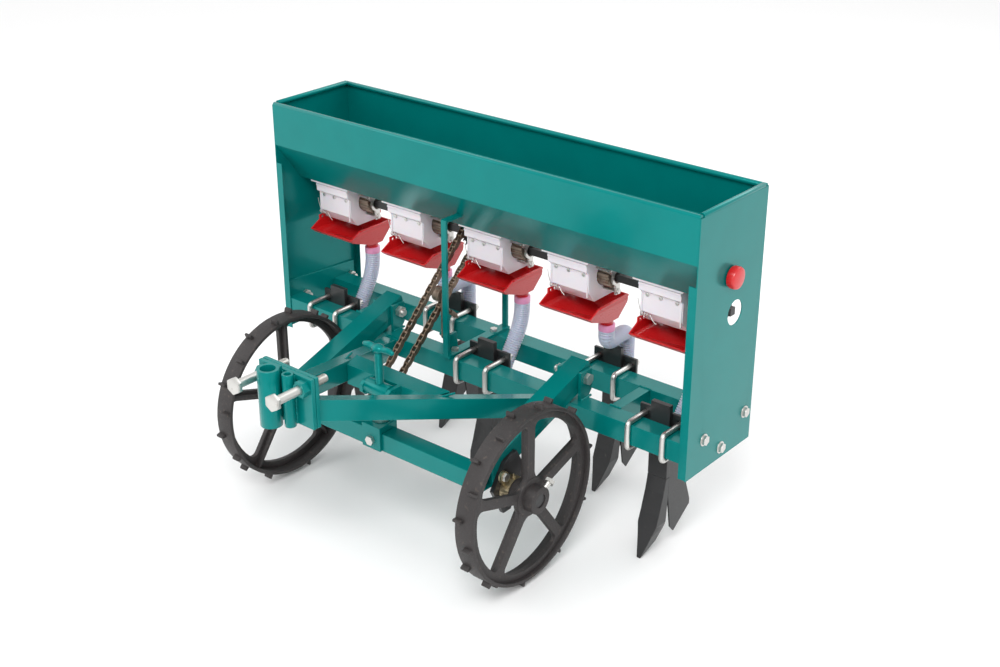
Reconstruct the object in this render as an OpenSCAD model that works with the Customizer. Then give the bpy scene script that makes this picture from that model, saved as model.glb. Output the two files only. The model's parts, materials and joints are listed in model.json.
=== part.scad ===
// Five-row seeder for a small tractor: hopper, five seed meters, hoe openers,
// ground-wheel drive and a V-shaped drawbar. Millimetres, +Z up, floor at z = 0.
// Y is measured from the hopper's front face inside place(), which puts it behind the origin.

/* [Overall] */
// Length of the hopper over its end plates
hopper_len = 1000; // [880:10:1200]
// Depth of the hopper from front to back
hopper_depth = 210; // [190:5:260]
// Height of the hopper's rim above the floor
hopper_top = 672; // [640:5:760]
// How far the hopper's front face stands behind the origin
hopper_front = 133; // [100:1:200]

/* [Rows] */
// Distance from one row to the next
row_pitch = 200; // [195:5:220]
// How far each opener stands to the right of its meter
opener_shift = 15; // [0:1:25]

/* [Frame] */
// Side of the square crossbars
bar = 40; // [30:1:45]
// Wall of every square tube
tube_wall = 2.5; // [1.5:0.5:4]
// Height of the crossbars' top face above the floor
bar_top = 258; // [240:1:262]
// Distance between the two crossbars' centres
bar_pitch = 134; // [120:1:150]
// Width of the cross ties
tie_w = 22; // [15:1:30]
// Thickness of the frame's end plates
frame_plate = 5; // [3:1:8]
// Diameter of the bolts that hold the end plates
plate_bolt = 10; // [8:1:12]

/* [Hopper] */
// Thickness of the hopper's sheet metal
sheet = 2; // [1.5:0.5:3]
// Height of the hopper's upright upper part
hopper_upright = 82; // [60:1:120]
// Height of the hopper's sloping lower part
hopper_slope = 83; // [70:1:100]
// Depth of the hopper's floor
floor_depth = 86; // [80:1:100]
// Radius of the rolled rim
rim_r = 5; // [4:0.5:6]
// Width of the end plates' folded edges
flange_w = 16; // [10:1:24]
// Height of the end plates
end_plate_h = 484; // [470:1:500]

/* [Seed meters] */
// Height of the feed shaft above the floor
feed_z = 466; // [460:1:470]
// Side of the square feed shaft
feed_sq = 14; // [10:1:16]
// Outer diameter of the fluted rollers
roller_d = 46; // [40:1:50]
// Length of the fluted rollers
roller_len = 36; // [30:1:44]
// Wall of the meters' housings
housing_wall = 3; // [2:0.5:4]
// Outer diameter of the funnels' spigots
spigot_d = 24; // [20:1:28]
// Outer diameter of the seed tubes
hose_d = 31; // [29:1:34]

/* [Openers] */
// Width of the openers' shanks
shank_w = 40; // [30:1:50]
// Thickness of the openers' shanks
shank_t = 10; // [8:1:14]
// Width of the clamp plates behind the bars
clamp_w = 98; // [90:1:110]
// Diameter of the U-bolts' rod
ubolt_d = 10; // [8:1:12]
// Distance between an opener's two U-bolts
ubolt_pitch = 73; // [64:1:80]

/* [Wheels and drive] */
// Outer diameter of the wheel rims
wheel_d = 328; // [300:1:332]
// Width of the wheel rims
rim_w = 38; // [30:1:44]
// Distance over the outer faces of the two rims
track = 632; // [628:1:660]
// Height of the lugs on the rims
lug_h = 9; // [6:1:11]
// Number of lugs on each wheel
lug_count = 20; // [16:2:24]
// Number of spokes in each wheel
spoke_count = 5; // [4:1:6]
// Diameter of the wheel axle
axle_d = 25; // [20:1:30]
// How far the wheel axle stands ahead of the hopper's front face
axle_y = 187; // [180:1:195]
// Pitch of the roller chain
chain_pitch = 12.7; // [9.5:0.1:12.7]
// Teeth on the axle's sprocket
axle_teeth = 11; // [9:1:12]
// Teeth on the feed shaft's sprocket
feed_teeth = 13; // [11:1:13]
// How far the chain runs to the left of the centre
chain_x = 90; // [86:1:94]

/* [Drawbar and depth adjuster] */
// How far the hitch plates stand ahead of the hopper's front face
hitch_y = 434; // [380:1:480]
// Height of the drawbar's top edge at the hitch
hitch_top = 372; // [340:1:400]
// Height of the drawbar's tubes
draw_h = 40; // [30:1:45]
// Width of the drawbar's tubes
draw_w = 25; // [20:1:30]
// Bore of the hitch socket
socket_bore = 26; // [20:1:30]
// Diameter of the hitch bolts
hitch_bolt = 16; // [12:1:18]
// Thickness of each hitch plate
hitch_plate = 8; // [6:1:10]
// Side of the wheel arms' square tube
arm = 40; // [30:1:42]
// Angle of the wheel arms below the horizontal
arm_slope = 18; // [14:1:20]
// Side of the lower bar's square tube
low_bar = 35; // [30:1:40]
// Diameter of the depth screw
screw_d = 16; // [12:1:18]
// Diameter of the trunnion
trunnion_d = 30; // [26:1:34]

/* [Hidden] */
$fn = 48;

teal = [0.05, 0.56, 0.52];
black = [0.16, 0.15, 0.15];
zinc = [0.75, 0.74, 0.72];
white = [0.93, 0.90, 0.92];
red = [0.86, 0.10, 0.10];
hose = [0.85, 0.87, 0.92];
brown = [0.45, 0.40, 0.36];

run = 0.05;                                    // radial clearance of a running fit
gap = 0.4;                                     // clearance between parts that pass each other
rows = 5;
row_x = [for (i = [0:rows - 1]) (i - (rows - 1) / 2) * row_pitch];
plate_x = hopper_len / 2;                      // outer face of an end plate
bar_half = plate_x - sheet - frame_plate;      // half the length of a crossbar
bar_z = bar_top - bar / 2;
front_bar_y = sheet + bar / 2;
bar_front = front_bar_y - bar / 2;              // front face of the front crossbar
rear_bar_y = front_bar_y + bar_pitch;
plate_low = hopper_top - end_plate_h;
fold_z = hopper_top - hopper_upright;
floor_z = fold_z - hopper_slope;
floor_y0 = (hopper_depth - floor_depth) / 2;
floor_y1 = floor_y0 + floor_depth;
feed_y = 127;                                  // feed shaft behind the hopper's front face
meter_w = 88;                                  // width of a meter's housing
meter_y0 = 72;                                 // front face of a meter's housing
meter_y1 = 164;
meter_low = 418;                               // underside of a meter's housing
meter_left = -62;                              // left side of a housing from its row
meter_right = meter_left + meter_w;
flange_t = 4;
meter_top = floor_z - flange_t;
funnel_top = meter_low - gap;
spigot_x = 30;                                 // spigot's place to the right of the row
spigot_y = 134;
spigot_low = 345;
knob_z = feed_z + 74;                          // agitator above the feed shaft
knob_rod = 10;
knob_y = hopper_depth / 2;                     // agitator along the middle of the trough
collar_x = plate_x - 30;                       // collar that moves the feed shaft sideways
feed_end = plate_x - 4;                        // right end of the feed shaft
gate_y = meter_y1 + 8;                         // hinge of a meter's gate
gate_z = meter_low + 42;

bolt_spots = [[52, bar_z + 12], [rear_bar_y + bar / 2 + 10, bar_z + 12], [110, bar_z - 28]];
frame_plate_y1 = rear_bar_y + bar / 2 + 22;

// Wheel arms turn on pivots above the front crossbar
arm_x = 232;
pivot_y = 36;
pivot_z = bar_top + 39;
pivot_d = 12;
ear_t = 6;
axle_z = wheel_d / 2 + lug_h;
low_y1 = -axle_y - 32;                         // rear face of the lower bar
low_y = low_y1 - low_bar / 2;
arm_len = (pivot_y - low_y1) / cos(arm_slope);
low_z = pivot_z - arm_len * sin(arm_slope) - 9;
bearing_t = 8;
bearing_x = arm_x + arm / 2;                   // inner face of a bearing plate
bearing_out = bearing_x + bearing_t + 18;      // outer face of a bearing's housing
rim_out = track / 2;
hub_in = bearing_out + 4;
hub_out = rim_out + 15;
hub_r = 25;

// Sprockets and chain
axle_r = chain_pitch / (2 * sin(180 / axle_teeth));
feed_r = chain_pitch / (2 * sin(180 / feed_teeth));
roller_r = 4;                                  // radius of the chain's rollers
chain_h = 11;                                  // height of the chain's side plates
chain_w = 12;
run_dy = feed_y + axle_y;
run_dz = feed_z - axle_z;
run_len = sqrt(run_dy * run_dy + run_dz * run_dz);
run_a = atan2(run_dz, run_dy);
tan_a = asin((feed_r - axle_r) / run_len);
rear_n = run_a - 90 - tan_a;                   // direction from a sprocket to the rear strand
front_n = run_a + 90 + tan_a;
idler_r = 15;
idler_back = idler_r + roller_r + gap;         // idler's centre from the rear strand
idler_at = 0.68;                               // idler's place along the chain's run
idler_y = -axle_y + idler_at * run_dy + (axle_r + idler_at * (feed_r - axle_r) - idler_back) * cos(rear_n);
idler_z = axle_z + idler_at * run_dz + (axle_r + idler_at * (feed_r - axle_r) - idler_back) * sin(rear_n);

// Drawbar
draw_rise = hitch_top - bar_top + 4;
hitch_x = 47;                                  // outer face of a drawbar tube at the hitch
draw_x = 209;                                  // outer face of a drawbar tube at the crossbar
cross_y0 = -214;                               // front face of the drawbar's cross tube
cross_y1 = cross_y0 + bar;
screw_y = cross_y0 - trunnion_d / 2 - 3;
trunnion_z = 296;
trunnion_len = 54;
hitch_w = 126;
hitch_low = 328;
hitch_high = 420;
hitch_bolt_x = 46;                             // hitch bolts to each side of the centre
hitch_bolt_z = hitch_high - 18;
hitch_face_y = -hitch_y - 2 * hitch_plate - 1;  // front face of the front hitch plate
base_t = 6;                                    // brace's flat bar
brace_x = -45;
brace_w = 20;
tens_y = front_bar_y + 8;                      // pivot of the chain tensioner
tens_z = bar_top + base_t + 22;
arm_in = -chain_x + 10;                        // left face of the tensioner's arm

module place() translate([0, hopper_front, 0]) children();

// Square or rectangular tube along X, centred
module tube_x(len, w, h, wall = tube_wall) {
    difference() {
        cube([len, w, h], center = true);
        cube([len + 1, w - 2 * wall, h - 2 * wall], center = true);
    }
}

// Cylinder along X from x0 to x1
module rod_x(x0, x1, d, sides = 48) {
    translate([x0, 0, 0]) rotate([0, 90, 0]) cylinder(h = x1 - x0, d = d, $fn = sides);
}

// Cylinder along Y from y0 to y1
module rod_y(y0, y1, d, sides = 48) {
    translate([0, y0, 0]) rotate([-90, 0, 0]) cylinder(h = y1 - y0, d = d, $fn = sides);
}

// Bolt with its hexagon head below z = 0 and its shank up to z = len
module hex_bolt(d, len) {
    union() {
        translate([0, 0, -0.65 * d]) cylinder(h = 0.65 * d, d = 1.9 * d, $fn = 6);
        cylinder(h = len, d = d);
    }
}

// Nut with its seat at z = 0
module hex_nut(d) {
    difference() {
        cylinder(h = 0.8 * d, d = 1.9 * d, $fn = 6);
        translate([0, 0, -1]) cylinder(h = d + 2, d = d + 2 * run);
    }
}

// Everything mirrored to both sides
module both() {
    children();
    mirror([1, 0, 0]) children();
}

// Outline in the Y-Z plane, extruded along X from x0 to x1
module side_plate(x0, x1, outline) {
    translate([x0, 0, 0]) rotate([90, 0, 90]) linear_extrude(x1 - x0) polygon(outline);
}

// ---- frame ----

module crossbar(y) place() translate([0, y, bar_z]) tube_x(2 * bar_half, bar, bar);

module front_crossbar() color(teal) crossbar(front_bar_y);

module rear_crossbar() color(teal) crossbar(rear_bar_y);

module cross_ties() color(teal) place() both()
    translate([1.6 * row_pitch, (front_bar_y + rear_bar_y) / 2, bar_z]) difference() {
        cube([tie_w, bar_pitch - bar, bar], center = true);
        cube([tie_w - 2 * tube_wall, bar_pitch, bar - 2 * tube_wall], center = true);
    }

module frame_end_plates() color(teal) place() both() difference() {
    side_plate(bar_half, bar_half + frame_plate, [
        [bar_front, bar_z - bar / 2 - 14], [frame_plate_y1, bar_z - bar / 2 - 14],
        [frame_plate_y1, bar_top + 22], [bar_front + 8, bar_top + 34], [bar_front, bar_top + 26]
    ]);
    for (s = bolt_spots) translate([0, s[0], s[1]]) rod_x(bar_half - 1, plate_x, plate_bolt + 1);
}

module pivot_ears() color(teal) place() both()
    for (x = [arm_x - arm / 2 - ear_t - 1, arm_x + arm / 2 + 1]) difference() {
        side_plate(x, x + ear_t, [
            [pivot_y - 18, bar_top], [bar_front + bar, bar_top], [pivot_y + 16, bar_top + 12],
            [pivot_y + 16, pivot_z + 16], [pivot_y - 18, pivot_z + 16]
        ]);
        translate([0, pivot_y, pivot_z]) rod_x(x - 1, x + ear_t + 1, pivot_d);
    }

module arm_pivot_bolts() color(zinc) place() both() {
    head_x = arm_x + arm / 2 + 1 + ear_t;
    nut_x = arm_x - arm / 2 - 1 - ear_t;
    translate([head_x, pivot_y, pivot_z]) rotate([0, -90, 0])
        hex_bolt(pivot_d - 2 * run, head_x - nut_x + 16);
    translate([nut_x, pivot_y, pivot_z]) rotate([0, -90, 0]) hex_nut(pivot_d);
}

// ---- drawbar and hitch ----

draw_len = hitch_y + bar_front;

function draw_in(y, x0, x1) = x0 + (x1 - x0) * (y + hitch_y) / draw_len;

module draw_arm() intersection() {
    // plan of the tube, from the hitch back to the crossbar
    translate([0, 0, bar_top - 2 * draw_h]) linear_extrude(4 * draw_h + draw_rise) polygon([
        [hitch_x, -hitch_y], [draw_x, bar_front],
        [draw_x - draw_w - 3, bar_front], [hitch_x - draw_w - 3, -hitch_y]
    ]);
    // side view of the tube, rising to the hitch
    side_plate(0, draw_x + 1, [
        [-hitch_y, hitch_top], [bar_front, bar_top - 4],
        [bar_front, bar_top - 4 - draw_h], [-hitch_y, hitch_top - draw_h]
    ]);
}

module draw_hollow() intersection() {
    translate([0, 0, bar_top - 2 * draw_h]) linear_extrude(4 * draw_h + draw_rise) polygon([
        [hitch_x - tube_wall - 1, -hitch_y - 1], [draw_x - tube_wall - 0.5, bar_front + 1],
        [draw_x - draw_w - 3 + tube_wall, bar_front + 1], [hitch_x - draw_w - 3 + tube_wall, -hitch_y - 1]
    ]);
    side_plate(0, draw_x + 1, [
        [-hitch_y - 1, hitch_top - tube_wall], [bar_front + 1, bar_top - 4 - tube_wall],
        [bar_front + 1, bar_top - 4 - draw_h + tube_wall], [-hitch_y - 1, hitch_top - draw_h + tube_wall]
    ]);
}

module drawbar_arms() color(teal) place() both() difference() {
    draw_arm();
    draw_hollow();
}

module drawbar_cross_tube() color(teal) place() difference() {
    cross_top = bar_top - 4 + draw_rise * (bar_front - cross_y0) / draw_len - 5;
    x0 = draw_in(cross_y0, hitch_x, draw_x) - draw_w - 3;
    x1 = draw_in(cross_y1, hitch_x, draw_x) - draw_w - 3;
    translate([0, 0, cross_top - bar]) linear_extrude(bar)
        polygon([[-x0, cross_y0], [x0, cross_y0], [x1, cross_y1], [-x1, cross_y1]]);
    translate([0, (cross_y0 + cross_y1) / 2, cross_top - bar / 2])
        cube([3 * x1, bar - 2 * tube_wall, bar - 2 * tube_wall], center = true);
}

module trunnion_lugs() color(teal) place() both() difference() {
    x0 = trunnion_len / 2 + gap;
    side_plate(x0, x0 + 8, [
        [cross_y0, trunnion_z - 16], [screw_y - 8, trunnion_z - 16], [screw_y - 16, trunnion_z - 8],
        [screw_y - 16, trunnion_z + 6], [screw_y - 8, trunnion_z + 12], [cross_y0, trunnion_z + 12]
    ]);
    translate([0, screw_y, trunnion_z]) rod_x(x0 - 1, x0 + 9, 12 + 2 * run);
}

module hitch_face(y0) difference() {
    translate([-hitch_w / 2, y0, hitch_low]) cube([hitch_w, hitch_plate, hitch_high - hitch_low]);
    for (s = [-1, 1]) translate([s * hitch_bolt_x, 0, hitch_bolt_z])
        rod_y(y0 - 1, y0 + hitch_plate + 1, hitch_bolt + 1);
}

module hitch_rear_plate() color(teal) place() hitch_face(-hitch_y - hitch_plate);

module hitch_front_plate() color(teal) place() hitch_face(hitch_face_y);

socket_wall = 6;
rib_r = 10;                                    // radius of the tube welded beside the socket

module hitch_socket() color(teal) place() {
    socket_y = hitch_face_y - socket_bore / 2 - socket_wall - 5;
    translate([-13, socket_y, hitch_low - 4]) difference() {
        union() {
            cylinder(h = 104, d = socket_bore + 2 * socket_wall);
            translate([-8, 0, 2]) cube([16, hitch_face_y - socket_y, 100]);
        }
        translate([0, 0, -1]) cylinder(h = 106, d = socket_bore);
    }
    translate([18, hitch_face_y - rib_r, hitch_low - 2]) difference() {
        union() {
            cylinder(h = 96, r = rib_r);
            translate([-4, 0, 0]) cube([8, rib_r, 96]);
        }
        translate([0, 0, -1]) cylinder(h = 98, r = rib_r - 4);
    }
}

module hitch_bolts() color(zinc) place() for (s = [-1, 1])
    translate([s * hitch_bolt_x, -hitch_y - 80, hitch_bolt_z]) rotate([-90, 0, 0]) hex_bolt(hitch_bolt, 110);

module hitch_nuts() color(teal) place() for (s = [-1, 1])
    translate([s * hitch_bolt_x, hitch_face_y, hitch_bolt_z]) rotate([90, 0, 0]) hex_nut(hitch_bolt);

// ---- hopper ----

// Section of the trough: front panel, floor and rear panel, one sheet thick
module trough_section() {
    polygon([
        [0, hopper_top], [0, fold_z], [floor_y0, floor_z], [floor_y1, floor_z],
        [hopper_depth, fold_z], [hopper_depth, hopper_top], [hopper_depth - sheet, hopper_top],
        [hopper_depth - sheet, fold_z + sheet / 2], [floor_y1 - sheet / 2, floor_z + sheet],
        [floor_y0 + sheet / 2, floor_z + sheet], [sheet, fold_z + sheet / 2], [sheet, hopper_top]
    ]);
}

module hopper_body() color(teal) place() {
    inner = plate_x - sheet;
    difference() {
        union() {
            translate([-inner, 0, 0]) rotate([90, 0, 90]) linear_extrude(2 * inner) trough_section();
            for (y = [rim_r, hopper_depth - rim_r])
                translate([0, y, hopper_top]) rod_x(-inner, inner, 2 * rim_r);
        }
        for (x = row_x) translate([x + meter_left + 12, feed_y - 24, floor_z - 1])
            cube([64, 34, sheet + 2]);
    }
}

// End plate with folded edges; open_at lists the round holes as [y, z, diameter]
module end_plate(open_at) {
    difference() {
        union() {
            translate([plate_x - sheet, 0, plate_low]) cube([sheet, hopper_depth, end_plate_h]);
            for (y = [0, hopper_depth - sheet]) translate([plate_x - flange_w, y, plate_low + 2])
                cube([flange_w - sheet, sheet, fold_z - plate_low - 40]);
            translate([plate_x - rim_r, 0, hopper_top + rim_r - 3])
                rod_y(2 * rim_r, hopper_depth - 2 * rim_r, 2 * rim_r);
        }
        for (s = bolt_spots) translate([0, s[0], s[1]]) rod_x(plate_x - 30, plate_x + 1, plate_bolt + 1);
        for (h = open_at) translate([0, h[0], h[1]]) rod_x(plate_x - 30, plate_x + 1, h[2]);
        translate([plate_x - 2 * rim_r, -1, hopper_top - 1]) cube([2 * rim_r - sheet, 2 * rim_r + 1, 9]);
        translate([plate_x - 2 * rim_r, hopper_depth - 2 * rim_r, hopper_top - 1])
            cube([2 * rim_r - sheet, 2 * rim_r + 1, 9]);
    }
}

module left_end_plate() color(teal) place() mirror([1, 0, 0])
    end_plate([[feed_y, feed_z, 34], [knob_y, knob_z, knob_rod + 2 * run]]);

module right_end_plate() color(teal) place()
    end_plate([[feed_y, feed_z, 46], [knob_y, knob_z, knob_rod + 2 * run]]);

module end_plate_bolts() color(zinc) place() both() for (s = bolt_spots)
    translate([plate_x, s[0], s[1]]) rotate([0, -90, 0]) hex_bolt(plate_bolt, 24);

module end_plate_nuts() color(zinc) place() both() for (s = bolt_spots)
    translate([bar_half, s[0], s[1]]) rotate([0, -90, 0]) hex_nut(plate_bolt);

// Flat bar across the crossbars with a strap at each end up to the hopper
strap_w = 12;
strap_t = 5;

// Outer face of the hopper's slope at a height, from its front or rear edge
function slope_at(z) = (fold_z - z) * floor_y0 / hopper_slope;

module hopper_brace() color(teal) place() {
    base_y0 = -6;
    base_y1 = rear_bar_y + bar / 2;
    x0 = brace_x - brace_w / 2;
    strap_z = bar_top + base_t;
    front_top = fold_z - 50;
    rear_y = hopper_depth - 18;
    rear_top = fold_z - (hopper_depth - rear_y) * hopper_slope / floor_y0;
    difference() {
        union() {
            translate([x0, base_y0, bar_top]) cube([brace_w, base_y1 - base_y0, base_t]);
            side_plate(brace_x - strap_w / 2, brace_x + strap_w / 2, [
                [base_y0, strap_z], [base_y0 + strap_t, strap_z], [base_y0 + strap_t, front_top - strap_t],
                [slope_at(front_top - strap_t), front_top - strap_t], [slope_at(front_top), front_top],
                [base_y0, front_top]
            ]);
            side_plate(brace_x - strap_w / 2, brace_x + strap_w / 2, [
                [base_y1 - strap_t, strap_z], [base_y1, strap_z], [base_y1, funnel_top - 18],
                [rear_y + strap_t, funnel_top],
                [rear_y + strap_t, rear_top + strap_t * hopper_slope / floor_y0],
                [rear_y, rear_top], [rear_y, funnel_top + 4], [base_y1 - strap_t, funnel_top - 14]
            ]);
            // lug and stud for the chain tensioner
            side_plate(x0 - 6, x0, [
                [tens_y - 12, bar_top + 1], [tens_y + 12, bar_top + 1],
                [tens_y + 9, tens_z + 9], [tens_y - 9, tens_z + 9]
            ]);
            translate([0, tens_y, tens_z]) rod_x(arm_in - 8, x0, 10);
        }
        for (y = [front_bar_y, rear_bar_y - 18]) translate([brace_x, y, bar_top - 1])
            cylinder(h = base_t + 2, d = 9);
    }
}

module brace_bolts() color(zinc) place() for (y = [front_bar_y, rear_bar_y - 18])
    translate([brace_x, y, bar_top + base_t]) {
        cylinder(h = 6, d = 15, $fn = 6);
        translate([0, 0, -base_t]) cylinder(h = base_t + 1, d = 8.8);
    }

// ---- seed meters ----

module meter_housing() difference() {
    union() {
        // flange under the hopper's floor
        translate([meter_left - 8, meter_y0 - 8, meter_top])
            cube([meter_w + 16, meter_y1 - meter_y0 + 16, flange_t]);
        side_plate(meter_left, meter_right, [
            [meter_y0, meter_top], [meter_y0, meter_top - 20], [meter_y0 + 8, meter_top - 26],
            [meter_y0 + 8, meter_low + 22], [meter_y0 + 26, meter_low], [meter_y1 - 8, meter_low],
            [meter_y1, meter_low + 20], [meter_y1, meter_top]
        ]);
        // ears and pin of the gate
        for (x = [meter_left, meter_right - 5]) side_plate(x, x + 5, [
            [meter_y1 - 1, gate_z - 14], [gate_y + 5, gate_z - 5],
            [gate_y + 5, gate_z + 5], [meter_y1 - 1, gate_z + 12]
        ]);
        translate([0, gate_y, gate_z]) rod_x(meter_left, meter_right, 4, 24);
    }
    // seed chamber, open above to the hopper and below to the funnel
    translate([meter_left + housing_wall, 0, 0]) rotate([90, 0, 90])
        linear_extrude(meter_w - 2 * housing_wall) polygon([
            [meter_y0 + 8 + housing_wall, meter_top - 8], [meter_y0 + 8 + housing_wall, meter_low + 24],
            [meter_y0 + 28, meter_low - 1], [meter_y1 - 12, meter_low - 1],
            [meter_y1 - housing_wall, meter_low + 22], [meter_y1 - housing_wall, meter_top - 8]
        ]);
    translate([meter_left + 12, feed_y - 24, meter_top - 9]) cube([64, 34, 20]);
    // shaft hole on the left and roller hole on the right
    translate([0, feed_y, feed_z]) rod_x(meter_left - 1, meter_left + housing_wall + 1, feed_sq * 1.5 + 2);
    translate([0, feed_y, feed_z]) rod_x(meter_right - housing_wall - 1, meter_right + 1, roller_d + 2 * gap);
    for (x = [meter_left - 3, meter_right + 3]) for (y = [meter_y0 + 4, meter_y1 - 4])
        translate([x, y, meter_top - 1]) cylinder(h = flange_t + 2, d = 5, $fn = 24);
}

module meter_housings() color(white) place() for (x = row_x) translate([x, 0, 0]) meter_housing();

// Three-armed zinc plate that holds the roller's end on three posts
post_r = 28;
retainer_x = meter_right + 27;

module meter_retainers() color(zinc) place() for (x = row_x) translate([x, feed_y, feed_z]) {
    difference() {
        union() {
            rod_x(retainer_x, retainer_x + 4, 34);
            for (a = [40, 140, 270]) rotate([a, 0, 0]) {
                translate([retainer_x, 14, -6]) cube([4, post_r - 8, 12]);
                translate([0, post_r, 0]) rod_x(meter_right, retainer_x + 7, 8, 24);
            }
        }
        rod_x(retainer_x - 5, retainer_x + 8, feed_sq * 1.5 + 4);
    }
}

// Outline in the X-Z plane, extruded along Y from y0 to y1
module front_plate(y0, y1, outline) {
    translate([0, y1, 0]) rotate([90, 0, 0]) linear_extrude(y1 - y0) polygon(outline);
}

// Red catching tray whose floor and sides slope down to its spout
module seed_funnel() {
    x0 = meter_left - 4;
    x1 = meter_right + 26;
    y0 = 52;
    y1 = 168;
    top = funnel_top;
    neck = spigot_low + 28;
    wall = 3;
    difference() {
        union() {
            intersection() {
                side_plate(x0, x1, [
                    [y0, top - 14], [y0 + 26, top], [y1, top], [y1, top - 16],
                    [spigot_y + 15, neck], [spigot_y - 15, neck], [y0 + 8, top - 22]
                ]);
                front_plate(y0 - 1, y1 + 1, [
                    [x0, top + 1], [x1, top + 1], [x1, top - 10],
                    [spigot_x + 15, neck], [spigot_x - 15, neck], [x0, top - 20]
                ]);
            }
            translate([spigot_x, spigot_y, spigot_low]) cylinder(h = 30, d = spigot_d);
        }
        intersection() {
            side_plate(x0, x1, [
                [y0 - 4, top - 8], [y0 - 4, top + 4], [y1 - wall, top + 4], [y1 - wall, top - 14],
                [spigot_y + 14, neck + 4], [spigot_y - 14, neck + 4], [y0 + 10, top - 18], [y0, top - 11]
            ]);
            front_plate(y0 - 5, y1, [
                [x0 + wall, top + 2], [x1 - wall, top + 2], [x1 - wall, top - 9],
                [spigot_x + 13, neck + 4], [spigot_x - 13, neck + 4], [x0 + wall, top - 17]
            ]);
        }
        translate([spigot_x, spigot_y, spigot_low - 1]) cylinder(h = 50, d = spigot_d - 6);
    }
}

module seed_funnels() color(red) place() for (x = row_x) translate([x, 0, 0]) seed_funnel();

// Swinging gate at the back of a meter, with its curved lever
module row_gate(i) color(red) place() translate([row_x[i], 0, 0]) {
    difference() {
        union() {
            translate([0, gate_y, gate_z]) rod_x(meter_left + 6, meter_right - 6, 10, 32);
            translate([meter_left + 6, gate_y - 2, gate_z - 36]) cube([meter_w - 12, 3, 36]);
            side_plate(meter_right - 12, meter_right - 6, [
                [gate_y, gate_z - 4], [gate_y + 22, gate_z - 12], [gate_y + 30, gate_z - 28],
                [gate_y + 34, gate_z - 26], [gate_y + 27, gate_z - 6], [gate_y, gate_z + 4]
            ]);
        }
        translate([0, gate_y, gate_z]) rod_x(meter_left, meter_right, 4 + 2 * run, 24);
    }
}

module row_gate_1() row_gate(0);
module row_gate_2() row_gate(1);
module row_gate_3() row_gate(2);
module row_gate_4() row_gate(3);
module row_gate_5() row_gate(4);

// ---- feed shaft and its drive ----

module at_feed() translate([0, feed_y, feed_z]) children();

module square_shaft(x0, x1, side) translate([x0, -side / 2, -side / 2]) cube([x1 - x0, side, side]);

module feed_shaft() color(black) place() at_feed() {
    square_shaft(-plate_x + 24, feed_end, feed_sq);
    rod_x(-plate_x - 6, -plate_x + 24, feed_sq - 2);
}

module feed_rollers() color(brown) place() at_feed() for (x = row_x) difference() {
    rod_x(x + meter_right + 24 - roller_len, x + meter_right + 24, roller_d);
    square_shaft(x - 100, x + 100, feed_sq + 2 * run);
    for (a = [0:30:330]) rotate([a, 0, 0]) translate([0, roller_d / 2 + 1, 0])
        rod_x(x, x + 100, 7, 24);
}

// Disc up to the foot of the chain's rollers, with a boss
module sprocket(pitch_r, bore_square, bore) difference() {
    union() {
        rod_x(-3, 3, 2 * (pitch_r - roller_r - gap));
        rod_x(-12, 12, 2 * (pitch_r - roller_r) - 10);
    }
    if (bore_square) square_shaft(-20, 20, bore + 2 * run);
    else rod_x(-20, 20, bore + 2 * run);
}

module feed_sprocket() color(black) place() at_feed()
    translate([-chain_x, 0, 0]) sprocket(feed_r, true, feed_sq);

// Points round a sprocket from angle a0 to a1
function wrap(c, r, a0, a1) = [for (k = [0:16]) let (a = a0 + (a1 - a0) * k / 16) c + r * [cos(a), sin(a)]];

// Loop of the roller chain, round both sprockets
module chain_loop(extra) polygon(concat(
    wrap([-axle_y, axle_z], axle_r + extra, front_n, rear_n + 360),
    wrap([feed_y, feed_z], feed_r + extra, rear_n, front_n)
));

module drive_chain() color([0.22, 0.18, 0.15]) place() translate([-chain_x - chain_w / 2, 0, 0])
    rotate([90, 0, 90]) linear_extrude(chain_w) difference() {
        chain_loop(chain_h / 2);
        chain_loop(-roller_r);
    }

module shaft_bushes() color(brown) place() at_feed() difference() {
    union() {
        rod_x(-plate_x - 3, -plate_x, 42);
        rod_x(-plate_x, -plate_x + sheet + 6, 34 - 2 * run);
    }
    rod_x(-plate_x - 4, -plate_x + 10, feed_sq - 2 + 2 * run);
}

// Collar that the feed shaft turns in, with a tab to slide it by
module feed_collar() color(zinc) place() difference() {
    union() {
        at_feed() rod_x(collar_x, collar_x + 14, 34);
        translate([collar_x + 4, feed_y - 9, feed_z]) cube([5, 18, 34]);
    }
    at_feed() rod_x(collar_x - 1, collar_x + 15, feed_sq * 1.4142 + 2 * run);
}

finger_r = 26;                                 // reach of the agitator's fingers
finger_pitch = row_pitch / 4;

module agitator_shaft() color(zinc) place() translate([0, knob_y, knob_z]) union() {
    rod_x(-plate_x - 12, plate_x, knob_rod);
    for (k = [-9:9]) rotate([k * 90, 0, 0])
        translate([k * finger_pitch, 0, 0]) cylinder(h = finger_r, d = 6, $fn = 24);
}

module agitator_knob() color(red) place()
    translate([0, knob_y, knob_z]) rod_x(plate_x + 1, plate_x + 17, 40);

// ---- chain tensioner ----

module tensioner_arm() color(brown) place() {
    dy = idler_y - tens_y;
    dz = idler_z - tens_z;
    len = sqrt(dy * dy + dz * dz);
    translate([arm_in, tens_y, tens_z]) rotate([atan2(dz, dy), 0, 0]) difference() {
        union() {
            rod_x(0, 5, 18);
            translate([0, 0, -8]) cube([5, len, 16]);
            translate([0, len, 0]) rod_x(0, 5, 18);
            translate([0, len, 0]) rod_x(-20, 0, 8 - 2 * run);
        }
        rod_x(-1, 6, 10 + 2 * run);
    }
}

module idler_roller() color([0.36, 0.22, 0.14]) place()
    translate([-chain_x, idler_y, idler_z]) difference() {
    rod_x(-8, 8, 2 * idler_r);
    rod_x(-9, 9, 8);
}

// ---- seed tubes ----

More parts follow.
